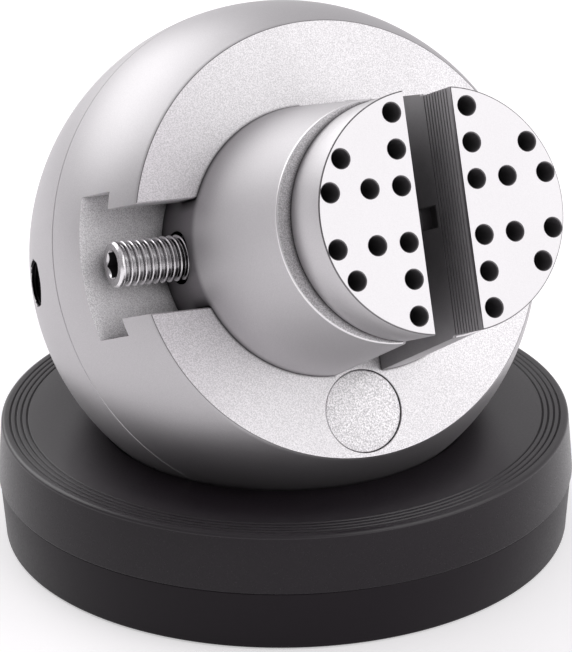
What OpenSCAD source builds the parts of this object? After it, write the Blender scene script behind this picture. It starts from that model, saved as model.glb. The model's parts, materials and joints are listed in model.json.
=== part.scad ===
// Ball vise: a two-part steel ball with sliding pin jaws, lying tilted in a round two-part base.
// Millimetres, +Z up. The origin is on the bench, straight under the centre of the ball.

/* [Ball] */
// Radius of the ball
ball_r = 66; // [62:0.5:70]
// Height of the ball's lowest point above the bench
ball_lift = 10.15; // [9.5:0.05:13]
// Height of the seam above the centre of the ball
seam_z = 4.8; // [3:0.1:6.5]
// Height of the working flat above the seam
head_h = 30.8; // [28:0.1:33]
// Gap between the two halves of the ball
seam_gap = 0.3; // [0.2:0.05:0.8]
// Bevel along both edges of the seam
seam_bevel = 0.2; // [0.1:0.05:1]
// Bevel around the edge of the working flat
flat_bevel = 0.15; // [0.1:0.05:1]

/* [Rest pose] */
// Lean of the ball's axis away from upright, in degrees
rest_tilt = 63.63; // [0:0.01:69]
// Direction that the axis leans in, in degrees from +X
rest_azimuth = -62.84; // [-180:0.01:180]
// Turn of the head about the ball's axis, in degrees
rest_turn = 84.8; // [-180:0.1:180]
// Turn of the brake hole about the ball's axis, in degrees
brake_turn = 84.8; // [-180:0.1:180]

/* [Jaw slot] */
// Depth of the slot below the working flat
slot_depth = 17.7; // [16.5:0.1:18.5]
// Thickness of the lips that hold the jaws down
slot_lip = 8.1; // [6:0.1:9]
// Width of the slot between its lips
slot_mouth = 27.3; // [26:0.1:30]
// Width of the slot under its lips
slot_foot = 36.1; // [34.5:0.1:40]
// Sliding clearance on each side of a jaw
slide_clr = 0.1; // [0.05:0.01:0.2]

/* [Jaws] */
// Gap between the two jaws at rest
jaw_gap = 12.86; // [12.5:0.02:20]
// Radius of a jaw where it stands on the flat
jaw_r = 34.2; // [32:0.1:37]
// Radius of a jaw's foot on the floor of the slot
jaw_foot_r = 35.1; // [32:0.1:37]
// Radius of a jaw at its ledge, under the pin plate
jaw_ledge_r = 29.8; // [29.5:0.1:32]
// Height of a jaw from the flat to its ledge
jaw_h = 41.65; // [36:0.05:50]
// Bevel around the ledge
ledge_bevel = 0.6; // [0.2:0.1:1.2]
// Thickness of the dark liners on the gap faces
liner_t = 0.8; // [0.5:0.05:0.9]
// Width of the key slot in the middle of a gap face
key_w = 5.6; // [4:0.1:8]
// Height of the key slot below the ledge
key_h = 9.2; // [6:0.1:14]
// Depth of the key slot into the jaw
key_depth = 3.2; // [2:0.1:5]

/* [Pin plates] */
// Thickness of a pin plate
plate_t = 16; // [13:0.5:20]
// Radius of a pin plate
plate_r = 29.5; // [28.7:0.1:30]
// How far the centre of the plate's arc lies inside the gap
plate_shift = 3.4; // [2.5:0.1:4]
// Bevel around the top of a plate
plate_bevel = 0.3; // [0.1:0.05:0.8]
// Height of bare metal above the grooved liner
plate_brow = 1.2; // [0.8:0.1:2]
// Radius of a pin hole
pin_hole_r = 2.3; // [2:0.05:2.6]
// Chamfer at the mouth of a pin hole
pin_chamfer = 0.25; // [0.1:0.05:0.3]
// Distance of the inner column of holes from the gap face
pin_inner_u = 3.64; // [3.62:0.02:4.5]
// Distance of the middle holes from the gap face
pin_middle_u = 12; // [11:0.1:13]
// Distance of the outer holes from the gap face
pin_outer_u = 22.4; // [21:0.1:22.6]
// Distance of the corner holes from the gap face
pin_corner_u = 18.5; // [18:0.1:19]
// Distance of the first row of holes from the middle of the jaw
pin_row_y = 6.75; // [6:0.05:7]
// Spacing of the holes in the inner column
pin_pitch = 8.8; // [8.3:0.05:8.9]
// Distance of the corner holes from the middle of the jaw
pin_corner_y = 14.5; // [13.9:0.1:14.8]
// Number of grooves in a plate's liner
liner_grooves = 9; // [5:1:11]
// Width of a liner groove
liner_groove_w = 0.5; // [0.3:0.05:0.7]
// Depth of a liner groove
liner_groove_depth = 0.3; // [0.1:0.05:0.4]

/* [Leadscrew] */
// Radius over the thread
screw_r = 5.85; // [5.2:0.05:6.2]
// Pitch of the thread
screw_pitch = 1.9; // [1.5:0.1:2.5]
// Depth of the thread
screw_thread = 1; // [0.6:0.05:1.3]
// Height of the leadscrew's axis above the floor of the slot
screw_lift = 8.3; // [8.2:0.05:9.2]
// How far each end of the leadscrew lies inside the ball's surface
screw_inset = 2; // [1:0.1:6]
// Length of the plain collar at each end of the leadscrew
screw_collar = 1.1; // [0.9:0.1:2.5]
// Chamfer at each end of the leadscrew
screw_chamfer = 0.4; // [0.3:0.1:0.8]
// Width across the flats of the key sockets
screw_socket = 6.35; // [5:0.05:6.5]
// Depth of the key sockets
screw_socket_depth = 9; // [6:0.5:12]
// Radius of the neck that turns in the yoke
neck_r = 4; // [3.5:0.1:4.2]
// Width of the neck
neck_w = 6; // [5.5:0.1:6.2]
// Running clearance round the leadscrew and its neck
screw_clr = 0.05; // [0.03:0.01:0.09]
// Radius of the clearance hole in a jaw's foot
screw_hole_r = 6.7; // [6.4:0.1:7]
// Outer radius of a leadscrew nut
nut_r = 7.3; // [7.1:0.1:7.5]
// Length of a leadscrew nut
nut_len = 16; // [12:0.5:18]
// Distance of a leadscrew nut from the gap face
nut_u = 8; // [6:0.5:9]

/* [Yoke] */
// Clearance between the yoke and each lip of the slot
yoke_clr = 0.25; // [0.1:0.05:0.5]
// Height of the yoke's shoulders above the floor of the slot
yoke_h = 11; // [10:0.5:11.5]
// Distance of the yoke's screws from its ends
yoke_screw_inset = 2.7; // [2.5:0.1:3]
// Radius of the yoke's screws
yoke_screw_r = 1.5; // [1.25:0.05:1.5]
// Radius of their heads
yoke_head_r = 2.7; // [2.4:0.1:2.8]
// Height of their heads
yoke_head_h = 2; // [1.5:0.1:2.3]
// Length of thread in the floor of the slot
yoke_bite = 7; // [5:0.5:7.5]
// Room round the yoke inside the closed jaws
yoke_room = 0.5; // [0.4:0.05:0.6]

/* [Plate screws] */
// Radius of the screws that hold a pin plate
plate_screw_r = 2.5; // [2:0.1:2.6]
// Radius of their heads
plate_head_r = 4.25; // [4:0.05:4.4]
// Height of their heads
plate_head_h = 5; // [4:0.1:6]
// Distance of a plate screw from the gap face
plate_screw_u = 11.1; // [10.9:0.1:11.5]
// Distance of a plate screw from the middle of the jaw
plate_screw_y = 17; // [16.6:0.1:17.4]
// Length of thread in the plate
plate_bite = 10; // [7:0.5:12]
// Thickness of jaw between a screw's head and the ledge
plate_grip = 12; // [9:0.5:16]
// Room round the screws' heads
head_room = 0.35; // [0.2:0.05:0.5]

/* [Loading plug] */
// Radius of the plug
plug_r = 10.4; // [9.5:0.1:11]
// Width of flat left between the plug and the edge of the flat
plug_rim = 1.28; // [0.8:0.02:2]
// Thickness of the plug's disc
plug_t = 7; // [5:0.5:8]
// How far the plug lies below the flat
plug_sink = 0.4; // [0.1:0.05:1]
// Clearance round the plug
plug_clr = 0.15; // [0.05:0.01:0.3]
// Clearance between the plug's stem and the upper race
stem_clr = 0.3; // [0.2:0.05:0.6]

/* [Bearing] */
// Radius of a bearing ball
pearl_r = 4; // [3.5:0.1:4.2]
// Smallest gap between two bearing balls
pearl_gap = 3.2; // [1:0.1:6]
// Radial width of a race
race_w = 12; // [11.5:0.1:12.5]
// Thickness of a race
race_t = 6.5; // [5.5:0.1:7]
// Distance of each race's face from the middle of the bearing balls
race_face = 2.2; // [2:0.1:2.6]
// Thickness of the cage
cage_t = 2.4; // [1.6:0.1:2.6]
// Radial width of the cage
cage_w = 9.5; // [9:0.1:10]
// Clearance of a bearing ball in its tracks and its cage
pearl_clr = 0.05; // [0.03:0.01:0.09]

/* [Spindle] */
// Radius of the spindle where it runs in the bush
hub_r = 14; // [13:0.1:14.2]
// Wall of the spindle bush
bush_t = 2.5; // [2:0.1:3]
// Distance of the spindle bush below the brake pad
bush_room = 3.6; // [1:0.1:6]
// Running clearance of the spindle in the bush
bush_clr = 0.05; // [0.03:0.01:0.09]
// Radius of the nut chamber in the lower half
chamber_r = 19; // [18.7:0.1:20]
// Radius of the spindle's upper thread
stud_r = 8; // [7:0.1:8.2]
// Length of the spindle's upper thread
stud_len = 9; // [7:0.1:9.5]
// Depth of hole left over the end of the stud
stud_relief = 0.5; // [0.3:0.1:0.8]
// Radius of the spindle's lower thread
tail_r = 10; // [9:0.1:10.5]
// Thickness of the thrust washer
washer_t = 2; // [1.5:0.1:2.5]
// Clearance of the thrust washer on the spindle and in its chamber
washer_clr = 0.3; // [0.2:0.05:0.4]
// Slack left for grease on each side of the thrust washer
washer_slack = 0.05; // [0.02:0.01:0.1]
// Width across the flats of the preload nut
preload_af = 30; // [27:0.5:31]
// Height of the preload nut
preload_h = 8; // [6:0.5:8.5]
// Length of spindle that stands out below the preload nut
tail_show = 1; // [0.5:0.1:1.5]
// Room between the spindle's end and the end cap
tail_room = 0.6; // [0.4:0.1:1.2]
// Thickness of the end cap at its edge
cap_t = 5.7; // [4:0.1:7]
// Clearance round the end cap
cap_clr = 0.05; // [0.02:0.01:0.1]
// Width across the flats of the end cap's key socket
cap_socket = 8; // [6:0.5:10]
// Depth of the end cap's key socket
cap_socket_depth = 4; // [3:0.5:5]

/* [Brake] */
// Distance of the brake hole below the seam
brake_drop = 17; // [16.6:0.1:18]
// Radius of the brake screw
brake_r = 6; // [5.5:0.05:6.2]
// Clearance round the brake screw and its pad
brake_clr = 0.1; // [0.05:0.01:0.2]
// Length of the brake screw
brake_len = 16; // [12:0.5:20]
// How far the brake screw lies below the ball's surface
brake_sink = 4.6; // [3:0.1:8]
// Gap between the brake pad and the spindle at rest
brake_gap = 0.3; // [0.25:0.01:0.6]
// Gap between the brake pad and its screw
brake_seat = 0.05; // [0.02:0.01:0.1]
// Width across the flats of the brake screw's socket
brake_socket = 6; // [5:0.5:7]
// Depth of the brake screw's socket
brake_socket_depth = 7; // [4:0.5:9]
// Chamfer at the brake screw's outer end
brake_chamfer = 0.8; // [0.3:0.1:1.2]

/* [Base] */
// Height of the base
base_h = 31.9; // [29:0.1:35]
// Height of the joint between foot and ring
base_joint_h = 16.2; // [15.6:0.1:17.5]
// Radius of the base at its joint, over the ring
base_r = 76.5; // [75.5:0.1:79]
// How much narrower the ring is at its top
ring_taper = 1.35; // [0.5:0.05:2]
// How far the foot stands back from the ring at their joint
foot_step = 0.4; // [0.1:0.1:0.8]
// How much narrower the foot is at the bench
foot_taper = 1.1; // [0.3:0.1:2]
// Bevel round the upper edge of the ring
ring_bevel = 0.8; // [0.3:0.1:1.5]
// Bevel round the lower edge of the foot
foot_bevel = 0.5; // [0.3:0.1:1.5]
// Distance of the outermost groove from the edge of the ring's top
groove_inset = 2.3; // [1.6:0.1:4]
// Number of grooves on the ring's top
groove_count = 4; // [2:1:6]
// Spacing of the grooves
groove_pitch = 1.49; // [1.2:0.01:2]
// Width of a groove
groove_w = 0.6; // [0.3:0.05:0.9]
// Depth of a groove
groove_depth = 0.5; // [0.2:0.05:1]
// Clearance between the ball and the bowl of the base
bowl_clr = 0.35; // [0.3:0.05:0.6]
// Width of the foot's rim round the non-slip pad
pad_inset = 3; // [2:0.5:6]
// Thickness of the non-slip pad
pad_t = 1.8; // [1.2:0.1:2.5]
// How far the pad stands below the foot
pad_proud = 0.3; // [0.1:0.05:0.6]
// Distance of the base screws from the edge of the base
base_screw_inset = 16.5; // [14.5:0.5:18.5]
// Number of base screws
base_screw_count = 4; // [3:1:6]
// Radius of the base screws
base_screw_r = 2.5; // [2:0.1:3]
// Radius of the base screws' heads
base_head_r = 4.25; // [4:0.05:5]
// Height of the base screws' heads
base_head_h = 5; // [3.5:0.1:6]
// Length of thread in the ring
base_bite = 9; // [6:0.5:11]

/* [Seat ring] */
// Height of the seat ring's underside above the bench
seat_low = 14; // [13.6:0.1:15]
// Height of the seat ring
seat_h = 8; // [6:0.1:9]
// Outer radius of the seat ring
seat_r = 41; // [40:0.1:44]
// Running clearance of the seat ring, under the ball and in the base
seat_clr = 0.05; // [0.03:0.01:0.09]

/* [Hidden] */
$fn = 96;

// Overrun of every cut past the surface that it opens
over = 1;
// Number of sides of a key socket
hex = 6;
// Half of a hexagon's corner angle
hex_turn = 180 / hex;

// Heights along the ball's axis, from the centre of the ball
ball_z = ball_lift + ball_r;
flat_z = seam_z + head_h;
flat_r = sqrt(ball_r * ball_r - flat_z * flat_z);
seam_low = seam_z - seam_gap / 2;
seam_high = seam_z + seam_gap / 2;
slot_z = flat_z - slot_depth;
lip_z = flat_z - slot_lip;
screw_z = slot_z + screw_lift;
screw_half = sqrt(ball_r * ball_r - screw_z * screw_z) - screw_inset;
ledge_z = flat_z + jaw_h;
plate_z = ledge_z + plate_t;
jaw_slope = (jaw_r - jaw_ledge_r) / jaw_h;
race_low_z = seam_z - race_face;
race_high_z = seam_z + race_face;
bush_r = hub_r + bush_clr;
bore_r = bush_r + bush_t;
cap_z = cap_t - sqrt(ball_r * ball_r - chamber_r * chamber_r);
tail_z = cap_z + tail_room;
preload_z = tail_z + tail_show;
hub_end_z = preload_z + preload_h;
washer_z = hub_end_z + washer_slack;
shoulder_z = washer_z + washer_t + washer_slack;
brake_z = seam_z - brake_drop;
bush_top_z = brake_z - brake_r - bush_room;
brake_surface = sqrt(ball_r * ball_r - brake_z * brake_z);
brake_outer = brake_surface - brake_sink;
pad_outer = brake_outer - brake_len - brake_seat;

// The bearing: its circle passes under the plug, and its balls fill it as far as their gaps let them
race_r = flat_r - plug_rim - plug_r;
pearl_count = floor(PI * 2 * race_r / (pearl_r * 2 + pearl_gap));
race_in = race_r - race_w / 2;
race_out = race_r + race_w / 2;
cage_in = race_r - cage_w / 2;
cage_out = race_r + cage_w / 2;

// The yoke's length across the slot, and the places of its screws from its middle
yoke_len = slot_mouth - yoke_clr * 2;
yoke_screw_y = yoke_len / 2 - yoke_screw_inset;

// Radii of the base, and its heights above the bench
ring_top_r = base_r - ring_taper;
foot_top_r = base_r - foot_step;
foot_low_r = foot_top_r - foot_taper;
pad_r = foot_low_r - pad_inset;
base_screw_ring = base_r - base_screw_inset;
seat_high = seat_low + seat_h;
pad_pocket_z = pad_t;
foot_z = pad_proud;

// The pin holes of one jaw, for the half above its middle
pin_places = [
    [pin_inner_u, pin_row_y],
    [pin_inner_u, pin_row_y + pin_pitch],
    [pin_inner_u, pin_row_y + pin_pitch * 2],
    [pin_middle_u, pin_row_y],
    [pin_outer_u, pin_row_y],
    [pin_corner_u, pin_corner_y]
];

// Colours as the eye takes them
satin_steel = "silver";
blasted_steel = "gainsboro";
bright_steel = "whitesmoke";
bearing_steel = "lightsteelblue";
bronze = "peru";
black_rubber = "dimgray";
dark_liner = "darkslategray";
black_oxide = "slategray";

// The axis of the ball at rest, with the ball's centre as its origin
module ball_frame() {
    translate([0, 0, ball_z])
        rotate([0, 0, rest_azimuth])
            rotate([0, rest_tilt, 0])
                children();
}

// The head: X is the way the jaws slide, Z is the ball's axis
module head_frame() {
    ball_frame() rotate([0, 0, rest_turn]) children();
}

// The lower half of the ball: the brake hole points along -X
module lower_frame() {
    ball_frame() rotate([0, 0, brake_turn]) children();
}

// One jaw: X is measured from its gap face outwards
module jaw_frame(side) {
    head_frame()
        mirror([side < 0 ? 1 : 0, 0, 0])
            translate([jaw_gap / 2, 0, 0])
                children();
}

// A cylinder along X that starts at a given place
module rod_x(r, start, length) {
    translate([start, 0, 0]) rotate([0, 90, 0]) cylinder(r = r, h = length);
}

// A box with X from 0, Y in the middle and Z between two heights
module slab(x_len, y_len, z_low, z_high) {
    translate([0, -y_len / 2, z_low]) cube([x_len, y_len, z_high - z_low]);
}

// A hexagonal bar for key sockets and nuts, flats apart by af
module hex_bar(af, length) {
    cylinder(r = af / 2 / cos(hex_turn), h = length, $fn = hex);
}

// A ring between two radii and two heights
module ring(r_in, r_out, z_low, z_high) {
    difference() {
        translate([0, 0, z_low]) cylinder(r = r_out, h = z_high - z_low);
        translate([0, 0, z_low - over]) cylinder(r = r_in, h = z_high - z_low + over * 2);
    }
}

// The track of the bearing balls, as a solid to cut away
module track() {
    translate([0, 0, seam_z])
        rotate_extrude()
            translate([race_r, 0])
                circle(r = pearl_r + pearl_clr);
}

// Foot of the base, which holds the pad and the shelf of the seat ring
module base_foot() {
    color(black_rubber)
    difference() {
        rotate_extrude()
            polygon([
                [0, foot_z],
                [foot_low_r - foot_bevel, foot_z],
                [foot_low_r, foot_z + foot_bevel],
                [foot_top_r, base_joint_h],
                [0, base_joint_h]
            ]);
        translate([0, 0, ball_z]) sphere(r = ball_r + bowl_clr);
        translate([0, 0, seat_low - seat_clr])
            cylinder(r = seat_r + seat_clr, h = base_joint_h - seat_low + over);
        translate([0, 0, foot_z - over]) cylinder(r = pad_r, h = pad_pocket_z - foot_z + over);
        base_screw_places() {
            translate([0, 0, foot_z]) cylinder(r = base_screw_r, h = base_joint_h);
            translate([0, 0, foot_z])
                cylinder(r = base_head_r + head_room, h = pad_pocket_z - foot_z + base_head_h);
        }
    }
}

// Places of the screws that join foot and ring
module base_screw_places() {
    for (i = [0 : base_screw_count - 1])
        rotate([0, 0, i * 360 / base_screw_count])
            translate([base_screw_ring, 0, 0])
                children();
}

// Ring of the base, with its bowl and the grooves on its top
module base_ring() {
    color(black_rubber)
    difference() {
        rotate_extrude()
            polygon([
                [0, base_joint_h],
                [base_r, base_joint_h],
                [ring_top_r, base_h - ring_bevel],
                [ring_top_r - ring_bevel, base_h],
                [0, base_h]
            ]);
        translate([0, 0, ball_z]) sphere(r = ball_r + bowl_clr);
        translate([0, 0, base_joint_h - over])
            cylinder(r = seat_r + seat_clr, h = seat_high + seat_clr - base_joint_h + over);
        for (i = [0 : groove_count - 1])
            ring_groove(ring_top_r - groove_inset - i * groove_pitch);
        base_screw_places()
            translate([0, 0, base_joint_h - over])
                cylinder(r = base_screw_r, h = base_bite + over * 2);
    }
}

// One groove on the ring's top, as a solid to cut away
module ring_groove(r) {
    translate([0, 0, base_h])
        rotate_extrude()
            polygon([
                [r - groove_w / 2, over],
                [r - groove_w / 2, 0],
                [r, -groove_depth],
                [r + groove_w / 2, 0],
                [r + groove_w / 2, over]
            ]);
}

// Screws from under the foot into the ring
module base_screws() {
    head_top = pad_pocket_z + base_head_h;
    color(black_oxide)
    base_screw_places() {
        translate([0, 0, pad_pocket_z]) cylinder(r = base_head_r, h = base_head_h);
        translate([0, 0, head_top - over])
            cylinder(r = base_screw_r, h = base_joint_h + base_bite - head_top + over);
    }
}

// Non-slip pad under the foot
module foot_pad() {
    color(dark_liner) cylinder(r = pad_r, h = pad_t);
}

// Friction ring that the ball turns and tilts on
module seat_ring() {
    color(bronze)
    difference() {
        translate([0, 0, seat_low]) cylinder(r = seat_r, h = seat_h);
        translate([0, 0, ball_z]) sphere(r = ball_r + seat_clr);
    }
}

// Lower half of the ball
module lower_ball() {
    edge_r = sqrt(ball_r * ball_r - seam_low * seam_low);
    color(satin_steel)
    lower_frame()
    difference() {
        sphere(r = ball_r);
        translate([0, 0, seam_low]) cylinder(r = ball_r + over, h = ball_r);
        seam_bevel_cut(edge_r, seam_low, -seam_bevel);
        translate([0, 0, race_low_z - race_t]) ring(race_in, race_out, 0, ball_r);
        translate([0, 0, shoulder_z - over]) cylinder(r = bore_r, h = ball_r * 2);
        translate([0, 0, shoulder_z - ball_r]) cylinder(r = chamber_r, h = ball_r);
        translate([0, 0, brake_z]) rod_x(brake_r + brake_clr, -ball_r - over, ball_r + over);
    }
}

// Bevel along an edge of the seam, as a solid to cut away
module seam_bevel_cut(r, z, drop) {
    rotate_extrude()
        polygon([
            [r - seam_bevel, z],
            [r - seam_bevel, z - drop],
            [r + over, z - drop],
            [r + over, z + drop],
            [r, z + drop]
        ]);
}

// Hardened race in the lower half
module lower_race() {
    color(bearing_steel)
    lower_frame()
    difference() {
        ring(race_in, race_out, race_low_z - race_t, race_low_z);
        track();
    }
}

// Bush that guides the spindle
module spindle_bush() {
    color(bronze)
    lower_frame()
        ring(bush_r, bore_r, shoulder_z, bush_top_z);
}

// Screwed cap that closes the nut chamber, flush with the ball
module end_cap() {
    color(satin_steel)
    lower_frame()
    difference() {
        intersection() {
            sphere(r = ball_r);
            translate([0, 0, cap_z - ball_r]) cylinder(r = chamber_r - cap_clr, h = ball_r);
        }
        translate([0, 0, -ball_r - over]) hex_bar(cap_socket, cap_socket_depth + over);
    }
}

// Balls of the bearing between the two halves
module bearing_balls() {
    color(bright_steel)
    ball_frame()
    for (i = [0 : pearl_count - 1])
        rotate([0, 0, i * 360 / pearl_count])
            translate([race_r, 0, seam_z])
                sphere(r = pearl_r);
}

// Cage that spaces the bearing balls
module bearing_cage() {
    color(bronze)
    ball_frame()
    difference() {
        ring(cage_in, cage_out, seam_z - cage_t / 2, seam_z + cage_t / 2);
        for (i = [0 : pearl_count - 1])
            rotate([0, 0, i * 360 / pearl_count])
                translate([race_r, 0, seam_z - cage_t])
                    cylinder(r = pearl_r + pearl_clr, h = cage_t * 2);
    }
}

// Upper half of the ball: the head with its flat and its jaw slot
module upper_ball() {
    edge_r = sqrt(ball_r * ball_r - seam_high * seam_high);
    color(blasted_steel)
    head_frame()
    difference() {
        sphere(r = ball_r);
        translate([0, 0, seam_high - ball_r * 2]) cylinder(r = ball_r + over, h = ball_r * 2);
        translate([0, 0, flat_z]) cylinder(r = ball_r + over, h = ball_r);
        seam_bevel_cut(edge_r, seam_high, seam_bevel);
        flat_bevel_cut();
        translate([-ball_r - over, 0, 0]) {
            slab(ball_r * 2 + over * 2, slot_mouth, slot_z, ball_r);
            slab(ball_r * 2 + over * 2, slot_foot, slot_z, lip_z);
        }
        ring(race_in, race_out, -over, race_high_z + race_t);
        translate([0, 0, seam_high - over]) cylinder(r = stud_r, h = stud_len + stud_relief + over);
        yoke_screw_places()
            translate([0, 0, slot_z - yoke_bite]) cylinder(r = yoke_screw_r, h = yoke_bite + over);
        plug_place() {
            translate([0, 0, flat_z - plug_sink - plug_t])
                cylinder(r = plug_r + plug_clr, h = ball_r);
            translate([0, 0, race_high_z + race_t - over])
                cylinder(r = pearl_r + plug_clr, h = ball_r);
        }
    }
}

// Bevel round the edge of the flat, as a solid to cut away
module flat_bevel_cut() {
    rotate_extrude()
        polygon([
            [flat_r - flat_bevel, flat_z],
            [flat_r - flat_bevel, flat_z + over],
            [flat_r + over, flat_z + over],
            [flat_r + over, flat_z - flat_bevel / 2],
            [flat_r, flat_z - flat_bevel / 2]
        ]);
}

// Place of the plug over the bearing's track
module plug_place() {
    translate([0, -race_r, 0]) children();
}

// Places of the yoke's screws
module yoke_screw_places() {
    for (side = [-1, 1])
        translate([0, side * yoke_screw_y, 0])
            children();
}

// Hardened race in the upper half
module upper_race() {
    color(bearing_steel)
    head_frame()
    difference() {
        ring(race_in, race_out, race_high_z, race_high_z + race_t);
        track();
    }
}

// Spindle: screwed into the head, running in the lower half
module spindle() {
    color(satin_steel)
    head_frame() {
        translate([0, 0, hub_end_z]) cylinder(r = hub_r, h = seam_high - hub_end_z);
        translate([0, 0, seam_high - over]) cylinder(r = stud_r, h = stud_len + over);
        translate([0, 0, tail_z]) cylinder(r = tail_r, h = hub_end_z - tail_z + over);
    }
}

// Washer that carries the preload against the lower half
module thrust_washer() {
    color(bronze)
    head_frame()
        ring(hub_r + washer_clr, chamber_r - washer_clr, washer_z, washer_z + washer_t);
}

// Nut that draws the two halves together
module preload_nut() {
    color(black_oxide)
    head_frame()
    difference() {
        translate([0, 0, preload_z]) hex_bar(preload_af, preload_h);
        translate([0, 0, preload_z - over]) cylinder(r = tail_r, h = preload_h + over * 2);
    }
}

// Yoke that holds the leadscrew in the middle of the slot
module screw_yoke() {
    thick = neck_w - screw_clr * 2;
    color(black_oxide)
    head_frame()
    difference() {
        translate([-thick / 2, 0, 0]) slab(thick, yoke_len, slot_z, slot_z + yoke_h);
        translate([0, 0, screw_z]) rod_x(neck_r + screw_clr, -thick, thick * 2);
        translate([-thick, 0, 0])
            slab(thick * 2, (neck_r + screw_clr) * 2, screw_z, slot_z + yoke_h + over);
        yoke_screw_places()
            translate([0, 0, slot_z - over]) cylinder(r = yoke_screw_r, h = yoke_h + over * 2);
    }
}

// Screws that hold the yoke down
module yoke_screws() {
    color(bright_steel)
    head_frame()
    yoke_screw_places() {
        translate([0, 0, slot_z - yoke_bite]) cylinder(r = yoke_screw_r, h = yoke_bite + yoke_h + over);
        translate([0, 0, slot_z + yoke_h]) cylinder(r = yoke_head_r, h = yoke_head_h);
    }
}

// Plug in the flat over the hole that the bearing balls go in through
module loading_plug() {
    color(blasted_steel)
    head_frame()
    plug_place() {
        translate([0, 0, flat_z - plug_sink - plug_t]) cylinder(r = plug_r, h = plug_t);
        translate([0, 0, race_high_z + race_t + stem_clr])
            cylinder(r = pearl_r, h = flat_z - plug_sink - plug_t / 2 - race_high_z - race_t - stem_clr);
    }
}

// Leadscrew, with opposite threads on its two halves and a key socket in each end
module leadscrew() {
    color(bright_steel)
    head_frame()
    translate([0, 0, screw_z])
    rotate([0, 90, 0])
    difference() {
        union() {
            leadscrew_half();
            mirror([0, 0, 1]) leadscrew_half();
        }
        for (end = [0, 1])
            mirror([0, 0, end])
                translate([0, 0, screw_half - screw_socket_depth])
                    hex_bar(screw_socket, screw_socket_depth + over);
    }
}

// One half of the leadscrew, its thread drawn as rings, from its middle along +Z
module leadscrew_half() {
    root = screw_r - screw_thread;
    start = neck_w / 2;
    top = screw_half - screw_collar;
    turns = floor((top - start) / screw_pitch);
    rotate_extrude()
        polygon(concat(
            [[0, 0], [neck_r, 0], [neck_r, start], [root, start]],
            [for (i = [turns : -1 : 1], crest = [0, 1])
                [root + crest * screw_thread, top - (i - crest / 2) * screw_pitch]],
            [[root, top], [screw_r, top], [screw_r, screw_half - screw_chamfer]],
            [[screw_r - screw_chamfer, screw_half], [0, screw_half]]
        ));
}

// Set screw that presses the brake pad
module brake_screw() {
    color(black_oxide)
    lower_frame()
    translate([-brake_outer, 0, brake_z])
    rotate([0, 90, 0])
    difference() {
        union() {
            cylinder(r1 = brake_r - brake_chamfer, r2 = brake_r, h = brake_chamfer);
            translate([0, 0, brake_chamfer]) cylinder(r = brake_r, h = brake_len - brake_chamfer);
        }
        translate([0, 0, -over]) hex_bar(brake_socket, brake_socket_depth + over);
    }
}

// Pad that drags on the spindle
module brake_pad() {
    color(bronze)
    lower_frame()
    translate([0, 0, brake_z])
        rod_x(brake_r, -pad_outer, pad_outer - hub_r - brake_gap);
}

// Round body of a jaw above the flat, cut off at its gap face
module jaw_cone(z_low, z_high) {
    intersection() {
        rotate_extrude()
            polygon([
                [0, z_low],
                [jaw_r - jaw_slope * (z_low - flat_z), z_low],
                [jaw_ledge_r + jaw_slope * ledge_bevel, ledge_z - ledge_bevel],
                [jaw_ledge_r - ledge_bevel, ledge_z],
                [0, ledge_z]
            ]);
        slab(jaw_r * 2, jaw_r * 2, z_low, z_high);
    }
}

// Jaw with its foot in the slot
module jaw(side) {
    half_yoke = (neck_w - screw_clr * 2) / 2;
    foot_low_z = slot_z + slide_clr;
    pocket_top = slot_z + yoke_h + yoke_head_h + yoke_room;
    body_low_z = flat_z + slide_clr;
    color(satin_steel)
    jaw_frame(side)
    difference() {
        union() {
            jaw_cone(body_low_z, ledge_z);
            intersection() {
                rotate_extrude()
                    polygon([
                        [0, foot_low_z],
                        [jaw_foot_r, foot_low_z],
                        [jaw_r - jaw_slope * slide_clr, body_low_z],
                        [jaw_ledge_r, ledge_z],
                        [0, ledge_z]
                    ]);
                union() {
                    slab(jaw_foot_r, slot_mouth - slide_clr * 2, foot_low_z, body_low_z + over);
                    slab(jaw_foot_r, slot_foot - slide_clr * 2, foot_low_z, lip_z - slide_clr);
                }
            }
        }
        translate([-over, 0, 0]) slab(liner_t + over, jaw_r * 2 + over, body_low_z, ledge_z + over);
        translate([-over, 0, 0]) slab(key_depth + over, key_w, ledge_z - key_h, ledge_z + over);
        translate([-over, 0, 0])
            slab(half_yoke + yoke_room + over, yoke_len + yoke_room * 2, foot_low_z - over, pocket_top);
        translate([0, 0, screw_z]) {
            rod_x(screw_hole_r, -over, jaw_foot_r + over * 2);
            rod_x(nut_r, -over, nut_u + nut_len + over);
        }
        plate_screw_places() {
            translate([0, 0, body_low_z - over])
                cylinder(r = plate_head_r + head_room, h = ledge_z - plate_grip - body_low_z + over);
            translate([0, 0, ledge_z - plate_grip - over])
                cylinder(r = plate_screw_r, h = plate_grip + over * 2);
        }
    }
}

// Places of the screws that hold a pin plate
module plate_screw_places() {
    for (side = [-1, 1])
        translate([plate_screw_u, side * plate_screw_y, 0])
            children();
}

// Nut in a jaw's foot, slipped in from the gap face
module screw_nut(side) {
    color(bronze)
    jaw_frame(side)
    translate([0, 0, screw_z])
    difference() {
        rod_x(nut_r, nut_u, nut_len);
        rod_x(screw_r + screw_clr, nut_u - over, nut_len + over * 2);
    }
}

// Smooth liner on the gap face of a jaw
module jaw_liner(side) {
    color(dark_liner)
    jaw_frame(side)
    difference() {
        intersection() {
            jaw_cone(flat_z + slide_clr, ledge_z);
            slab(liner_t, jaw_r * 2, flat_z, ledge_z + over);
        }
        translate([-over, 0, 0]) slab(liner_t + over * 2, key_w, ledge_z - key_h, ledge_z + over);
    }
}

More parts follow.
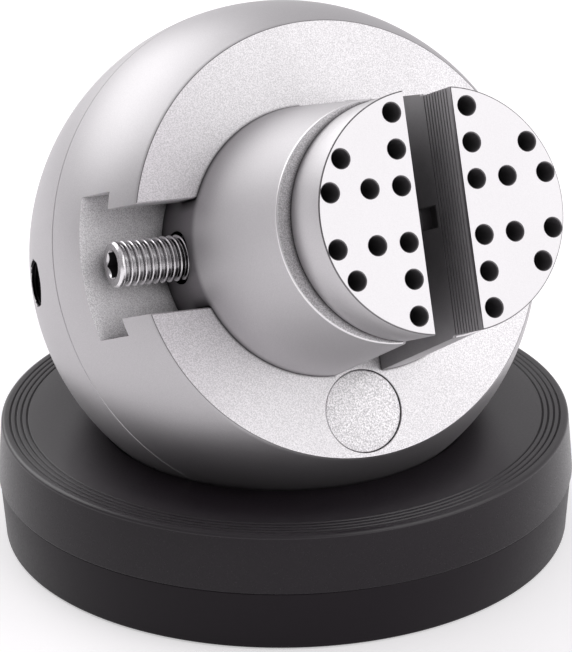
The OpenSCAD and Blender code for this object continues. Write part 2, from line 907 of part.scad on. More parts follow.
// Outline of a pin plate, cut off at its gap face
module plate_body() {
    intersection() {
        translate([-plate_shift, 0, 0])
            rotate_extrude()
                polygon([
                    [0, ledge_z],
                    [plate_r, ledge_z],
                    [plate_r, plate_z - plate_bevel],
                    [plate_r - plate_bevel, plate_z],
                    [0, plate_z]
                ]);
        slab(plate_r, plate_r * 2, ledge_z, plate_z);
    }
}

// Pin holes of one plate, chamfered at their mouths, as solids to cut away
module pin_holes() {
    for (place = pin_places, side = [-1, 1])
        translate([place[0], side * place[1], 0]) {
            translate([0, 0, ledge_z - over]) cylinder(r = pin_hole_r, h = plate_t + over * 2);
            translate([0, 0, plate_z - pin_chamfer])
                cylinder(r1 = pin_hole_r, r2 = pin_hole_r + pin_chamfer * 2, h = pin_chamfer * 2);
        }
}

// Pin plate with its twelve holes
module pin_plate(side) {
    color(bright_steel)
    jaw_frame(side)
    difference() {
        plate_body();
        pin_holes();
        translate([-over, 0, 0])
            slab(liner_t + over, plate_r * 2 + over, ledge_z - over, plate_z - plate_brow);
        plate_screw_places()
            translate([0, 0, ledge_z - over]) cylinder(r = plate_screw_r, h = plate_bite + over * 2);
    }
}

// Grooved liner on the gap face of a pin plate
module plate_liner(side) {
    step = (plate_t - plate_brow) / (liner_grooves + 1);
    color(dark_liner)
    jaw_frame(side)
    difference() {
        intersection() {
            plate_body();
            slab(liner_t, plate_r * 2, ledge_z, plate_z - plate_brow);
        }
        for (i = [1 : liner_grooves])
            translate([liner_groove_depth - over, 0, 0])
                slab(over, plate_r * 2 + over,
                    ledge_z + i * step - liner_groove_w / 2, ledge_z + i * step + liner_groove_w / 2);
    }
}

// Screws from under the jaw into its plate
module plate_screws(side) {
    head_z = ledge_z - plate_grip - plate_head_h;
    color(black_oxide)
    jaw_frame(side)
    plate_screw_places() {
        translate([0, 0, head_z]) cylinder(r = plate_head_r, h = plate_head_h);
        translate([0, 0, head_z + plate_head_h - over])
            cylinder(r = plate_screw_r, h = plate_grip + plate_bite + over);
    }
}

base_foot();
base_ring();
base_screws();
foot_pad();
seat_ring();
lower_ball();
lower_race();
spindle_bush();
end_cap();
bearing_balls();
bearing_cage();
upper_ball();
upper_race();
spindle();
thrust_washer();
preload_nut();
screw_yoke();
yoke_screws();
loading_plug();
leadscrew();
brake_screw();
brake_pad();
jaw(-1);  // left_jaw
screw_nut(-1);  // left_screw_nut
jaw_liner(-1);  // left_jaw_liner
pin_plate(-1);  // left_pin_plate
plate_liner(-1);  // left_plate_liner
plate_screws(-1);  // left_plate_screws
jaw(1);  // right_jaw
screw_nut(1);  // right_screw_nut
jaw_liner(1);  // right_jaw_liner
pin_plate(1);  // right_pin_plate
plate_liner(1);  // right_plate_liner
plate_screws(1);  // right_plate_screws
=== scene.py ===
# %% [markdown]
# # A ball vise, dressed for the camera
# A ball vise holds small work for engraving and jewellery. A heavy steel ball rests in a round base, its
# upper half turns on a bearing, and two jaws slide in a slot that is cut into the working flat.
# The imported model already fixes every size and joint. This lesson gives it finer meshes and real finishes.

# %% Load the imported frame
import json
import math
import bpy
import bmesh
from mathutils import Matrix, Vector


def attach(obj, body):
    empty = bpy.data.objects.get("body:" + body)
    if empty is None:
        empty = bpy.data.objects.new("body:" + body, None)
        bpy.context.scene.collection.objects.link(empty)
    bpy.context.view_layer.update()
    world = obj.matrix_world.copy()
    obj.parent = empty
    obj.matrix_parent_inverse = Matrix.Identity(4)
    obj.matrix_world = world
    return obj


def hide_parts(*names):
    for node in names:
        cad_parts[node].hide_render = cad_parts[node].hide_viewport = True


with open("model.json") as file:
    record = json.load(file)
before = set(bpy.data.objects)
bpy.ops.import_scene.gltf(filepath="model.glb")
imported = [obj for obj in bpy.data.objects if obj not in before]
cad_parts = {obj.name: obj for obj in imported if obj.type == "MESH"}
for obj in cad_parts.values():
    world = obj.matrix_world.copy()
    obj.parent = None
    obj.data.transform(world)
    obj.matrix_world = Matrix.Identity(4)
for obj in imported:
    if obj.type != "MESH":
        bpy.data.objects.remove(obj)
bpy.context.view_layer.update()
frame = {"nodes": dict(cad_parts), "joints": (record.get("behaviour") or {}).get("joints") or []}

# %% [markdown]
# The ball lies tilted, so nothing on the head is square to the bench. It is far easier to draw each piece
# in the head's own millimetres, with X along the slot and Z along the ball's axis, and to place the finished
# mesh with one matrix. That matrix comes from two joints of the frame: the turns of the head and of the
# leadscrew give both directions, and the axis of the first passes through the centre of the ball.

# %% The head's own millimetres
MM = 0.001
joints = {joint["name"]: joint for joint in frame["joints"]}
ball_centre = Vector(joints["head_turn"]["pos_m"])
ball_axis = Vector(joints["head_turn"]["axis"]).normalized()
slot_axis = Vector(joints["leadscrew_turn"]["axis"]).normalized()
cross_axis = ball_axis.cross(slot_axis)
turned = Matrix((slot_axis, cross_axis, ball_axis)).transposed().to_4x4()
BENCH = Matrix.Scale(MM, 4)
HEAD = Matrix.Translation(ball_centre) @ turned @ BENCH
MIRROR = Matrix.Diagonal((-1, 1, 1, 1))
JAW_GAP = 12.86
half_gap = Matrix.Translation((JAW_GAP / 2, 0, 0))
JAWS = {"left": HEAD @ MIRROR @ half_gap, "right": HEAD @ half_gap}
print("ball centre", tuple(round(v, 5) for v in ball_centre), "axis", tuple(round(v, 4) for v in ball_axis))

# %% [markdown]
# The photograph was taken with a long lens from a little above the vise. The camera's place and its slight
# roll were measured from the round edges of the flat, the ball and the base, which all show as ellipses.

# %% Camera
eye = Vector((0, -0.8702, 0.4354))
aim = Vector((0.00058, 0, 0.05563))
roll = math.radians(-0.658)
forward = (aim - eye).normalized()
level_right = forward.cross(Vector((0, 0, 1))).normalized()
level_up = level_right.cross(forward)
right = math.cos(roll) * level_right + math.sin(roll) * level_up
up = math.cos(roll) * level_up - math.sin(roll) * level_right
lens = bpy.data.cameras.new("camera")
lens.sensor_fit = "AUTO"
lens.sensor_width = 36
lens.lens = 199.3
camera = bpy.data.objects.new("camera", lens)
camera.matrix_world = Matrix.Translation(eye) @ Matrix((right, up, -forward)).transposed().to_4x4()
bpy.context.collection.objects.link(camera)
bpy.context.scene.camera = camera
bpy.context.scene.view_settings.view_transform = "Standard"
print("distance from camera to aim:", round((aim - eye).length, 4), "m")

# %% [markdown]
# Bare metal has no colour of its own. It shows the room, so the lights are drawn as a product studio has
# them: one large softbox right of the camera, which the flat and the pin plates look straight into, and one
# behind on the left, which makes the bright patch high on the ball. The rest of the room is grey paper,
# darkest in front of the vise on the left and palest opposite to that.

# %% Small helpers: an object, a colour, a node and an empty material
MATH = "ShaderNodeMath"


def placed(name, data):
    """A new object with its data, linked to the scene."""
    made = bpy.data.objects.new(name, data)
    bpy.context.collection.objects.link(made)
    return made


def colour(code):
    """Turns a hex colour, as the eye reads it, to the linear values that Blender mixes."""
    parts = [int(code[i:i + 2], 16) / 255 for i in (1, 3, 5)]
    linear = [p / 12.92 if p <= 0.04045 else ((p + 0.055) / 1.055) ** 2.4 for p in parts]
    return linear + [1.0]


def add(tree, kind, links=None, **settings):
    """Adds a node, sets its settings, and links or fills its inputs. A node stands for its first output."""
    made = tree.nodes.new(kind)
    for name, value in settings.items():
        setattr(made, name, value)
    for socket, value in (links or {}).items():
        if isinstance(value, bpy.types.Node):
            value = value.outputs[0]
        if isinstance(value, bpy.types.NodeSocket):
            tree.links.new(value, made.inputs[socket])
        else:
            made.inputs[socket].default_value = value
    return made


def blank_material(name):
    """A new material and its empty node tree."""
    made = bpy.data.materials.new(name)
    made.use_nodes = True
    made.node_tree.nodes.clear()
    return made, made.node_tree


# %% Softboxes and room
def softbox(name, azimuth, elevation, distance, width, height, brightness):
    """Hangs a softbox, with degrees and metres. Azimuth 0 is towards the camera and grows to the right."""
    a, e = math.radians(azimuth), math.radians(elevation)
    way = Vector((math.sin(a) * math.cos(e), -math.cos(a) * math.cos(e), math.sin(e)))
    lamp = bpy.data.lights.new(name, "AREA")
    lamp.shape = "RECTANGLE"
    lamp.size = width
    lamp.size_y = height
    lamp.energy = brightness * math.pi * width * height
    box = placed(name, lamp)
    facing = way.to_track_quat("Z", "Y").to_matrix().to_4x4()
    box.matrix_world = Matrix.Translation(Vector((0, 0, 0.07)) + way * distance) @ facing
    print(name, "at", tuple(round(v, 2) for v in box.matrix_world.translation))


softbox("softbox_right", azimuth=59, elevation=28, distance=1.0, width=1.1, height=0.9, brightness=1.18)
softbox("softbox_back_left", azimuth=-132, elevation=34, distance=1.2, width=1.2, height=0.8, brightness=2.0)
world = bpy.data.worlds.new("room")
world.use_nodes = True
tree = world.node_tree
tree.nodes.clear()
look = add(tree, "ShaderNodeTexCoord")
front_left = Vector((-0.5, -0.85, 0)).normalized()
towards = add(tree, "ShaderNodeVectorMath", {0: look, 1: front_left}, operation="DOT_PRODUCT")
share = add(tree, "ShaderNodeMapRange", {0: towards.outputs["Value"], 1: -1.0, 2: 1.0})
walls = {0: share, 6: colour("#E6E4E6"), 7: colour("#A5A3A5")}
walls = add(tree, "ShaderNodeMix", walls, data_type="RGBA")
room = add(tree, "ShaderNodeBackground", {"Color": walls.outputs[2], "Strength": 1.0})
add(tree, "ShaderNodeOutputWorld", {"Surface": room})
bpy.context.scene.world = world

# %% [markdown]
# The floor is a broad sheet of white paper. The photograph's background is pure white, so the paper adds a
# little light of its own for what the camera and the reflections see. The shadow of the vise stays on it.

# %% Floor
paper, tree = blank_material("white_paper_sheet")
seen = add(tree, "ShaderNodeLightPath")
any_view = 0.0
for ray in ("Is Camera Ray", "Is Glossy Ray", "Is Transmission Ray"):
    any_view = add(tree, MATH, {0: seen.outputs[ray], 1: any_view}, operation="MAXIMUM")
PAPER_GLOW = 0.42
lift = add(tree, MATH, {0: any_view, 1: PAPER_GLOW}, operation="MULTIPLY")
matt = add(tree, "ShaderNodeBsdfDiffuse", {"Color": colour("#E5E3E5")})
glow = add(tree, "ShaderNodeEmission", {"Color": colour("#FFFFFF"), "Strength": lift})
both = add(tree, "ShaderNodeAddShader", {0: matt, 1: glow})
add(tree, "ShaderNodeOutputMaterial", {"Surface": both})
sheet = bpy.data.meshes.new("floor")
half = 6.0  # metres
corners = [(-half, -half, 0), (half, -half, 0), (half, half, 0), (-half, half, 0)]
sheet.from_pydata(corners, [], [(0, 1, 2, 3)])
sheet.materials.append(paper)
floor = placed("floor", sheet)
print("floor", 2 * half, "m square")

# %% [markdown]
# Almost everything here is steel that was turned, blasted or ground. What tells these finishes apart is the
# size and depth of their grain and how rough the metal is between the grains, so one function makes them all.
# It takes the grain in millimetres and turns it to the scale of a noise pattern on Object coordinates, which
# are metres. Real grain is near a tenth of a millimetre, too fine to show from where the camera stands, so
# it is drawn coarser: 0.25 mm on satin and 0.3 mm on blasted steel.

# %% Steel finishes
def multiplied(tree, tone, code, clear):
    """A tone that is darkened by a colour where the factor is 0 and left alone where it is 1."""
    sides = {0: 1.0, 6: tone, 7: colour(code)}
    dark = add(tree, "ShaderNodeMix", sides, data_type="RGBA", blend_type="MULTIPLY")
    return add(tree, "ShaderNodeMix", {0: clear, 6: dark.outputs[2], 7: tone}, data_type="RGBA").outputs[2]


def dimmed(tree, tone, way, low, high, code):
    """Painted shade: darkens a tone below one place along a direction, and lets it go above another, in mm.
    """
    spot = add(tree, "ShaderNodeTexCoord")
    along = add(tree, "ShaderNodeVectorMath", {0: spot.outputs["Object"], 1: way}, operation="DOT_PRODUCT")
    start = way.dot(ball_centre)
    reach = {0: along.outputs["Value"], 1: start + low * MM, 2: start + high * MM}
    clear = add(tree, "ShaderNodeMapRange", reach, interpolation_type="SMOOTHSTEP")
    return multiplied(tree, tone, code, clear)


def sheltered(tree, tone, reach, low, high, code):
    """Painted shade: darkens a tone in corners and valleys, as far from them as the reach in mm."""
    open_sky = add(tree, "ShaderNodeAmbientOcclusion", {"Distance": reach * MM}, samples=12)
    clear = add(tree, "ShaderNodeMapRange", {0: open_sky.outputs["AO"], 1: low, 2: high})
    return multiplied(tree, tone, code, clear)


def grain_and_clouds(tree, grain, grain_rough, scale, detail, cloud_rough):
    """Fine grain, its size in mm, and broad clouds, on Object coordinates."""
    spot = add(tree, "ShaderNodeTexCoord").outputs["Object"]
    sizes = [(1000 / grain, 2.0, grain_rough), (scale, detail, cloud_rough)]
    return [add(tree, "ShaderNodeTexNoise", {"Vector": spot, "Scale": s, "Detail": d, "Roughness": r})
            for s, d, r in sizes]


def coated(tree, tone, gloss, fine, dent, metallic, shine):
    """Ends a material with its surface: a tone, a gloss and fine dents in thousandths of a mm."""
    dents = add(tree, "ShaderNodeBump", {"Height": fine, "Distance": dent * MM * MM, "Strength": 1.0})
    coat = {"Base Color": tone, "Roughness": gloss, "Metallic": metallic, "Specular IOR Level": shine}
    skin = add(tree, "ShaderNodeBsdfPrincipled", {**coat, "Normal": dents})
    add(tree, "ShaderNodeOutputMaterial", {"Surface": skin})


def steel(name, light, dark, grain, rough, spread, dent, crisp=0.18, shades=(), corners=()):
    """Steel with grain in mm, roughness with its spread, and dents of some thousandths of a mm."""
    made, tree = blank_material(name)
    fine, broad = grain_and_clouds(tree, grain, grain_rough=0.6, scale=40.0, detail=3.0, cloud_rough=0.5)
    speck = add(tree, "ShaderNodeMapRange", {0: fine, 1: 0.5 - crisp, 2: 0.5 + crisp})
    tone = add(tree, "ShaderNodeMix", {0: speck, 6: colour(dark), 7: colour(light)}, data_type="RGBA")
    tone = tone.outputs[2]
    # Painted shade: darker along the given directions, then darker in corners.
    for shade in shades:
        tone = dimmed(tree, tone, *shade)
    for corner in corners:
        tone = sheltered(tree, tone, *corner)
    worn = add(tree, MATH, {0: fine, 1: broad}, operation="ADD")
    gloss = add(tree, "ShaderNodeMapRange", {0: worn, 1: 0.6, 2: 1.4, 3: rough - spread, 4: rough + spread})
    coated(tree, tone, gloss, fine, dent, metallic=1.0, shine=0.5)
    return made


# Painted shade lies along a direction, from one height to another in the head's mm.
SLOT_Z, FLAT_Z = 17.9, 35.6
foot_painted_shade = (ball_axis, SLOT_Z - 6, FLAT_Z + 3, "#6F6D6F")
cone_band_painted_shade = (ball_axis, FLAT_Z - 1, FLAT_Z + 2, "#C4C2C4")
far_side = (slot_axis, -60, -24, "#F1EFF1")

# Painted shade fills corners as far as the first number says, in mm. The next two are the shares of open sky
# between which it fades. The joint shade is a painted dark line along the foot of a jaw.
slot_corners = (8, 0.27, 0.6, "#242326")
foot_corners = (3, 0.3, 1.0, "#6F6D6F")
ledge_corner = (2, 0.5, 0.9, "#6B696B")
joint_painted_shade = (0.8, 0.5, 0.95, "#5B595B")
valleys = (1.2, 0.45, 1.0, "#454447")

# Satin turning: a dense, even grain, so the ball shines in one broad soft patch and mirrors nothing.
satin_ball = steel("steel_satin_turned", "#C5C3C5", "#BAB8BA", 0.25, 0.48, 0.03, 12)
# Glass-bead blasting: pale and sparkling, lighter than the ball, because each dent catches a light.
# Painted shade darkens the flat towards its left end and along the foot of each jaw.
blasted = steel("steel_bead_blasted", "#EBE9EB", "#C9C7C9", 0.3, 0.5, 0.05, 26, 0.1, [far_side],
                [joint_painted_shade])
# The slot's copy of the blasted steel is lighter, as painted light, and painted shade darkens its corners.
blasted_slot = steel("steel_bead_blasted_slot", "#FFFEFF", "#D9D7D9", 0.28, 0.58, 0.06, 40, 0.1, (),
                     [slot_corners])
blasted_plug = steel("steel_bead_blasted_plug", "#F3F1F3", "#B5B3B5", 0.36, 0.5, 0.05, 40, 0.12)
# The jaws were ground and then satined, so their cones shine a little less than the ball.
# Painted shade on the jaw: darker down the foot in the slot, in a band at the foot of the cone, in its
# corners and along its joint with the flat.
satin_jaw = steel("steel_satin_ground_jaw", "#CECCCE", "#C1BFC1", 0.25, 0.56, 0.03, 14, 0.18,
                  [foot_painted_shade, cone_band_painted_shade], [foot_corners, joint_painted_shade])
# The ledge is a darker copy of the blasted steel, as painted shade under the plate, with painted shade in its
# corner as well.
blasted_ledge = steel("steel_blasted_ledge", "#DDDBDD", "#ADABAD", 0.3, 0.5, 0.05, 30, 0.1, (),
                      [ledge_corner])
satin_side = steel("steel_satin_plate_side", "#CFCDCF", "#C3C1C3", 0.25, 0.48, 0.03, 14)
# Surface grinding leaves next to no grain: the plates take the right softbox as one even white.
ground = steel("steel_surface_ground", "#C9C7C9", "#C3C1C3", 0.3, 0.3, 0.03, 3)
# Rims: a glossier rim whose lighter colour is a painted highlight, and dark grey edges as a painted shade
# line.
rim_glossy_painted_highlight = steel("steel_rim_polished_painted_highlight", "#F1EFF1", "#E7E5E7", 0.3, 0.34, 0.03, 3)
edge_painted_shade = steel("steel_edges_painted_shade_line", "#817F81", "#777577", 0.3, 0.45, 0.03, 3)
# Rolled threads are the smoothest steel of the vise, with painted shade in their valleys and where the slot's
# lips hang over them.
rolled = steel("steel_thread_rolled", "#EDEBED", "#E1DFE1", 0.5, 0.22, 0.05, 6, 0.18, (),
               [valleys, slot_corners])
bright = steel("steel_bright_turned", "#D1CFD1", "#C4C2C4", 0.5, 0.2, 0.05, 6)
faced = steel("steel_faced_end", "#ADABAD", "#8B898B", 0.3, 0.45, 0.05, 20, 0.1)
print("steel finishes:", [m.name for m in bpy.data.materials if m.name.startswith("steel")])

# %% [markdown]
# The dark pieces are three different things. The base is moulded rubber with a skin that shines softly, more
# on top as a painted sheen. The liners on the gap faces are grey fibre rubber, made dark by painted shade in
# the gap. The screws are alloy steel with black oxide under thin oil.

# %% Dark finishes
def dark_finish(name, light, dark, grain, rough, spread, dent, metallic, shine=0.5, corners=()):
    """A dark skin with faint clouds in its colour and fine grain in its gloss."""
    made, tree = blank_material(name)
    fine, cloud = grain_and_clouds(tree, grain, grain_rough=0.5, scale=60.0, detail=4.0, cloud_rough=0.6)
    tone = add(tree, "ShaderNodeMix", {0: cloud, 6: colour(dark), 7: colour(light)}, data_type="RGBA")
    tone = tone.outputs[2]
    # Painted shade in corners.
    for corner in corners:
        tone = sheltered(tree, tone, *corner)
    gloss = add(tree, "ShaderNodeMapRange", {0: fine, 1: 0.3, 2: 0.7, 3: rough - spread, 4: rough + spread})
    coated(tree, tone, gloss, fine, dent, metallic, shine)
    return made


# Painted shade over the gap faces, deepest far from the open ends.
gap_corners = (25, 0.1, 0.7, "#5F5D5F")

# Moulded rubber: nearly black, in lit and shaded copies: a painted sheen on top, darker with less shine down
# the side and the foot.
base_rubber = dark_finish("rubber_moulded_black", "#1C151C", "#160F16", 0.6, 0.34, 0.04, 8, 0.0, 0.6)
side_rubber = dark_finish("rubber_moulded_side", "#191219", "#140D14", 0.6, 0.3, 0.04, 8, 0.0, 0.3)
foot_rubber = dark_finish("rubber_moulded_foot", "#171017", "#120B12", 0.6, 0.4, 0.04, 8, 0.0, 0.2)
pad_rubber = dark_finish("rubber_pad_matt", "#313032", "#272628", 0.8, 0.75, 0.08, 60, 0.0)
# Black oxide is steel under a thin dark skin, so it stays a metal and glints where the light falls in.
black_oxide = dark_finish("steel_black_oxide", "#3A393B", "#2C2B2D", 0.4, 0.38, 0.08, 8, 1.0)
# The liner's own grey is light; painted shade in the gap makes it dark.
liner_gap_painted_shade = dark_finish("rubber_fibre_liner", "#C9C7C9", "#999799", 0.5, 0.5, 0.08, 14, 0.0, 0.5,
                          [gap_corners])
# Drilled walls and key sockets are dull, and painted dark as shade, since hardly any light reaches them.
bore_black = dark_finish("steel_bore_unlit", "#6F6D6F", "#5F5D5F", 0.5, 0.6, 0.08, 10, 0.0)
socket_black = dark_finish("steel_socket_painted_shade", "#1C1B1D", "#131214", 0.5, 0.5, 0.08, 8, 0.0)
# Turned bronze: a warm yellow-brown that shows only inside.
bronze = steel("bronze_turned", "#C79A62", "#A97C48", 0.4, 0.34, 0.06, 10)
print("dark finishes and bronze ready")

# %% [markdown]
# Most pieces of a vise are turned on a lathe, so most meshes here are turned as well: a closed outline of
# (radius, height) points goes round the axis. A third number rounds that corner, as a stone or a file would,
# and the thin bright line along an edge comes from it.

# %% Turning on the lathe
def softened(points, steps=4):
    """Rounds every corner that carries a radius as its third number."""
    result = []
    count = len(points)
    for i, point in enumerate(points):
        here = Vector(point[:2])
        if len(point) < 3:
            result.append(here)
            continue
        before, after = Vector(points[i - 1][:2]) - here, Vector(points[(i + 1) % count][:2]) - here
        turn = math.pi - before.angle(after)
        reach = min(point[2] * math.tan(turn / 2), before.length * 0.49, after.length * 0.49)
        start, end = here + before.normalized() * reach, here + after.normalized() * reach
        for k in range(steps + 1):
            s = k / steps
            result.append((1 - s) ** 2 * start + 2 * s * (1 - s) * here + s * s * end)
    return result


def arc(radius, low, high, steps, middle=0.0):
    """Points on a ball of some radius, between two heights, with the ball's middle at a height."""
    first, last = math.asin((low - middle) / radius), math.asin((high - middle) / radius)
    angles = [first + (last - first) * k / steps for k in range(steps + 1)]
    return [(radius * math.cos(a), middle + radius * math.sin(a)) for a in angles]


def mesh_object(name, vertices, faces):
    """Makes an object of loose lists, with doubles merged and its faces pointing outwards."""
    mesh = bpy.data.meshes.new(name)
    mesh.from_pydata(vertices, [], faces)
    shape = bmesh.new()
    shape.from_mesh(mesh)
    bmesh.ops.remove_doubles(shape, verts=shape.verts, dist=0.0005)
    bmesh.ops.recalc_face_normals(shape, faces=shape.faces)
    shape.to_mesh(mesh)
    shape.free()
    return placed(name, mesh)


def lathe(name, outline, around=256):
    """Turns a closed outline of (radius, height) points about Z."""
    points = softened(outline)
    vertices = []
    for k in range(around):
        a = 2 * math.pi * k / around
        vertices += [(p[0] * math.cos(a), p[0] * math.sin(a), p[1]) for p in points]
    n = len(points)
    faces = []
    for k in range(around):
        for i in range(n):
            j, m = (i + 1) % n, (k + 1) % around
            if points[i][0] < 1e-6 and points[j][0] < 1e-6:
                continue
            faces.append((k * n + i, m * n + i, m * n + j, k * n + j))
    made = mesh_object(name, vertices, faces)
    print(name, "turned:", len(made.data.polygons), "faces")
    return made


# %% [markdown]
# The slot, the holes and the pockets are milled, and the Boolean modifier mills a mesh in the same way: one
# closed mesh is the stock, another is the cutter. The cutter has the chamfer on it, as a real one can.

# %% Milling and finishing
def milled(stock, cutters, operation="DIFFERENCE"):
    """Cuts closed meshes out of another (or joins or intersects them) and throws the cutters away."""
    for cutter in cutters:
        step = stock.modifiers.new("mill", "BOOLEAN")
        step.operation = operation
        step.object = cutter
        step.solver = "EXACT"
    bake(stock)
    for cutter in cutters:
        bpy.data.objects.remove(cutter)
    return stock


def bake(piece):
    """Turns what the modifiers make into the piece's own mesh, and removes them."""
    bpy.context.view_layer.update()
    seen = piece.evaluated_get(bpy.context.evaluated_depsgraph_get())
    mesh = bpy.data.meshes.new_from_object(seen)
    piece.modifiers.clear()
    piece.data = mesh


def prism(name, outline, low, high, axis="Z"):
    """A straight bar with a closed outline of two-number points, along Z, or along X with (y, z) points."""
    n = len(outline)
    vertices = [(*p, h) if axis == "Z" else (h, *p) for h in (low, high) for p in outline]
    faces = [tuple(range(n)), tuple(range(n, 2 * n))]
    faces += [(i, (i + 1) % n, n + (i + 1) % n, n + i) for i in range(n)]
    return mesh_object(name, vertices, faces)


def block(name, low, high):
    """A cutter with straight sides between two corners."""
    outline = [(low[0], low[1]), (high[0], low[1]), (high[0], high[1]), (low[0], high[1])]
    return prism(name, outline, low[2], high[2])


def finish(piece, matrix, body, nodes, materials, choose=None, sharp=lambda middle: 32):
    """Places a mesh, gives it its finishes and its sharp edges, and hands it to the frame."""
    mesh = piece.data
    mesh.materials.clear()
    for material in materials:
        mesh.materials.append(material)
    for face in mesh.polygons:
        face.material_index = choose(face) if choose else 0
    mesh.shade_smooth()
    shape = bmesh.new()
    shape.from_mesh(mesh)
    for edge in shape.edges:
        limit = math.radians(sharp((edge.verts[0].co + edge.verts[1].co) / 2))
        edge.smooth = len(edge.link_faces) == 2 and edge.calc_face_angle() < limit
    shape.to_mesh(mesh)
    shape.free()
    mesh.transform(matrix)
    if matrix.determinant() < 0:
        mesh.flip_normals()
    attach(piece, body)
    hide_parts(*nodes)
    triangles = sum(len(face.vertices) - 2 for face in mesh.polygons)
    print(f"{piece.name}: {triangles} triangles on {body}")


# %% [markdown]
# ## The base
# The base is two rings of moulded rubber, one on the other, and the ball sits in a bowl in their middle. Both
# are pure lathe work. The four fine grooves on top are part of the outline, each a small V. Their edges are
# a little rounded, as a mould leaves them, and catch the light as thin grey lines.

# %% Base ring
BALL_R, BALL_Z = 66.0, ball_centre.z / MM
BOWL_R, BOWL_MOUTH_R = BALL_R + 0.35, 49.65
SEAT_ROOM_R, SEAT_ROOM_LOW, SEAT_ROOM_HIGH, SEAT_R = 41.05, 13.95, 22.05, 38.41
RING_TOP, RING_TOP_R, JOINT_Z, JOINT_R = 31.9, 75.15, 16.2, 76.2
GROOVES, GROOVE_INSET, GROOVE_STEP, GROOVE_HALF, GROOVE_DEEP = 4, 2.3, 1.49, 0.32, 0.5
grooves = []
for i in range(GROOVES):
    r = RING_TOP_R - GROOVE_INSET - (GROOVES - 1 - i) * GROOVE_STEP
    grooves += [(r - GROOVE_HALF, RING_TOP, 0.12), (r, RING_TOP - GROOVE_DEEP, 0.1)]
    grooves.append((r + GROOVE_HALF, RING_TOP, 0.12))
bowl_low = BALL_Z - math.sqrt(BOWL_R ** 2 - SEAT_R ** 2)
ring_outline = [(SEAT_ROOM_R, JOINT_Z), (SEAT_ROOM_R, SEAT_ROOM_HIGH)]
ring_outline += arc(BOWL_R, bowl_low, RING_TOP - 0.15, 24, BALL_Z) + [(BOWL_MOUTH_R, RING_TOP)]
ring_outline += grooves + [(RING_TOP_R, RING_TOP, 1.1), (JOINT_R + 0.25, JOINT_Z + 0.3, 0.4)]
base_ring = lathe("base_ring_turned", ring_outline + [(JOINT_R, JOINT_Z)])
# The top takes the shiny copy as a painted sheen, the side the darker one.
finish(base_ring, BENCH, "base", ["base_ring"], [base_rubber, side_rubber],
       lambda face: 0 if face.center.z > RING_TOP - 1 else 1)

# %% Base foot and non-slip pad
PAD_R, PAD_T, FOOT_LOW_R = 71.9, 1.8, 75
foot_outline = [(0, PAD_T), (PAD_R + 0.1, PAD_T), (PAD_R + 0.1, 0.3), (FOOT_LOW_R, 0.3, 0.7)]
foot_outline += [(JOINT_R - 0.1, JOINT_Z - 0.2, 0.3), (JOINT_R - 0.4, JOINT_Z)]
foot_outline += [(SEAT_ROOM_R, JOINT_Z), (SEAT_ROOM_R, SEAT_ROOM_LOW)]
foot_outline += arc(BOWL_R, BALL_Z - BOWL_R, SEAT_ROOM_LOW, 12, BALL_Z)[::-1]
base_foot = lathe("base_foot_turned", foot_outline)
# The foot takes the darkest, least shiny copy, as painted shade.
finish(base_foot, BENCH, "base", ["base_foot"], [foot_rubber])
RIBS, RIB_FIRST_R, RIB_STEP, RIB_H = 16, 8, 4.0, 0.7
ribs = []
for i in range(RIBS):
    r = RIB_FIRST_R + i * RIB_STEP
    ribs += [(r, 0), (r + 0.3, RIB_H), (r + 1.3, RIB_H), (r + 1.6, 0)]
pad_outline = [(0, 0)] + ribs + [(PAD_R, 0, 0.3), (PAD_R, PAD_T), (0, PAD_T)]
foot_pad = lathe("foot_pad_ribbed", pad_outline, 192)
finish(foot_pad, BENCH, "base", ["foot_pad"], [pad_rubber])

# %% [markdown]
# ## The lower half of the ball
# The lower half holds the bearing, the bush and the brake. Seen from outside it is a ball with a thin seam,
# a threaded hole on one side and a screwed cap at its pole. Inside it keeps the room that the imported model
# has, so that nothing hidden runs into it.

# %% Lower ball
SEAM, SEAM_GAP, SEAM_EASE = 4.8, 0.2, 0.12
PLUG_R, PLUG_RIM = 10.4, 1.28
NUT_ROOM_R, NUT_ROOM_TOP, BUSH_R, RACE_FLOOR = 19, -45.806, 16.55, -3.9
CAP_ROOM_LOW, CAP_ROOM_EASE = -62.95, 0.1
seam_low = SEAM - SEAM_GAP / 2
low_rim = math.sqrt(BALL_R ** 2 - seam_low ** 2)
flat_rim = math.sqrt(BALL_R ** 2 - FLAT_Z ** 2)
RACE_R, RACE_HALF = flat_rim - PLUG_RIM - PLUG_R, 6
RACE_IN, RACE_OUT = RACE_R - RACE_HALF, RACE_R + RACE_HALF
lower_outline = [(NUT_ROOM_R, NUT_ROOM_TOP), (BUSH_R, NUT_ROOM_TOP), (BUSH_R, seam_low), (RACE_IN, seam_low)]
lower_outline += [(RACE_IN, RACE_FLOOR), (RACE_OUT, RACE_FLOOR), (RACE_OUT, seam_low)]
lower_outline.append((low_rim - SEAM_EASE, seam_low))
lower_outline += arc(BALL_R, CAP_ROOM_LOW - CAP_ROOM_EASE, seam_low - SEAM_EASE, 72)[::-1]
lower_outline.append((NUT_ROOM_R, CAP_ROOM_LOW))
lower_ball = lathe("lower_ball_turned", lower_outline, 288)
print("seam radius", round(low_rim, 2), "mm")

# %% [markdown]
# ## Threads
# A thread is a groove that climbs steadily round a bar, so it follows a rule, and Geometry Nodes suit it.
# The tree bends a flat grid into a tube. Each column is pushed along by the share of a pitch that it has
# turned through, so the rows run along the thread and its crests stay smooth with few faces. A wave of the
# phase gives the radius, the ends stay flat, and a six-sided bar cuts the key socket. The leadscrew needs
# two hands of thread, one for each jaw, and its other half is simply the mirror image.

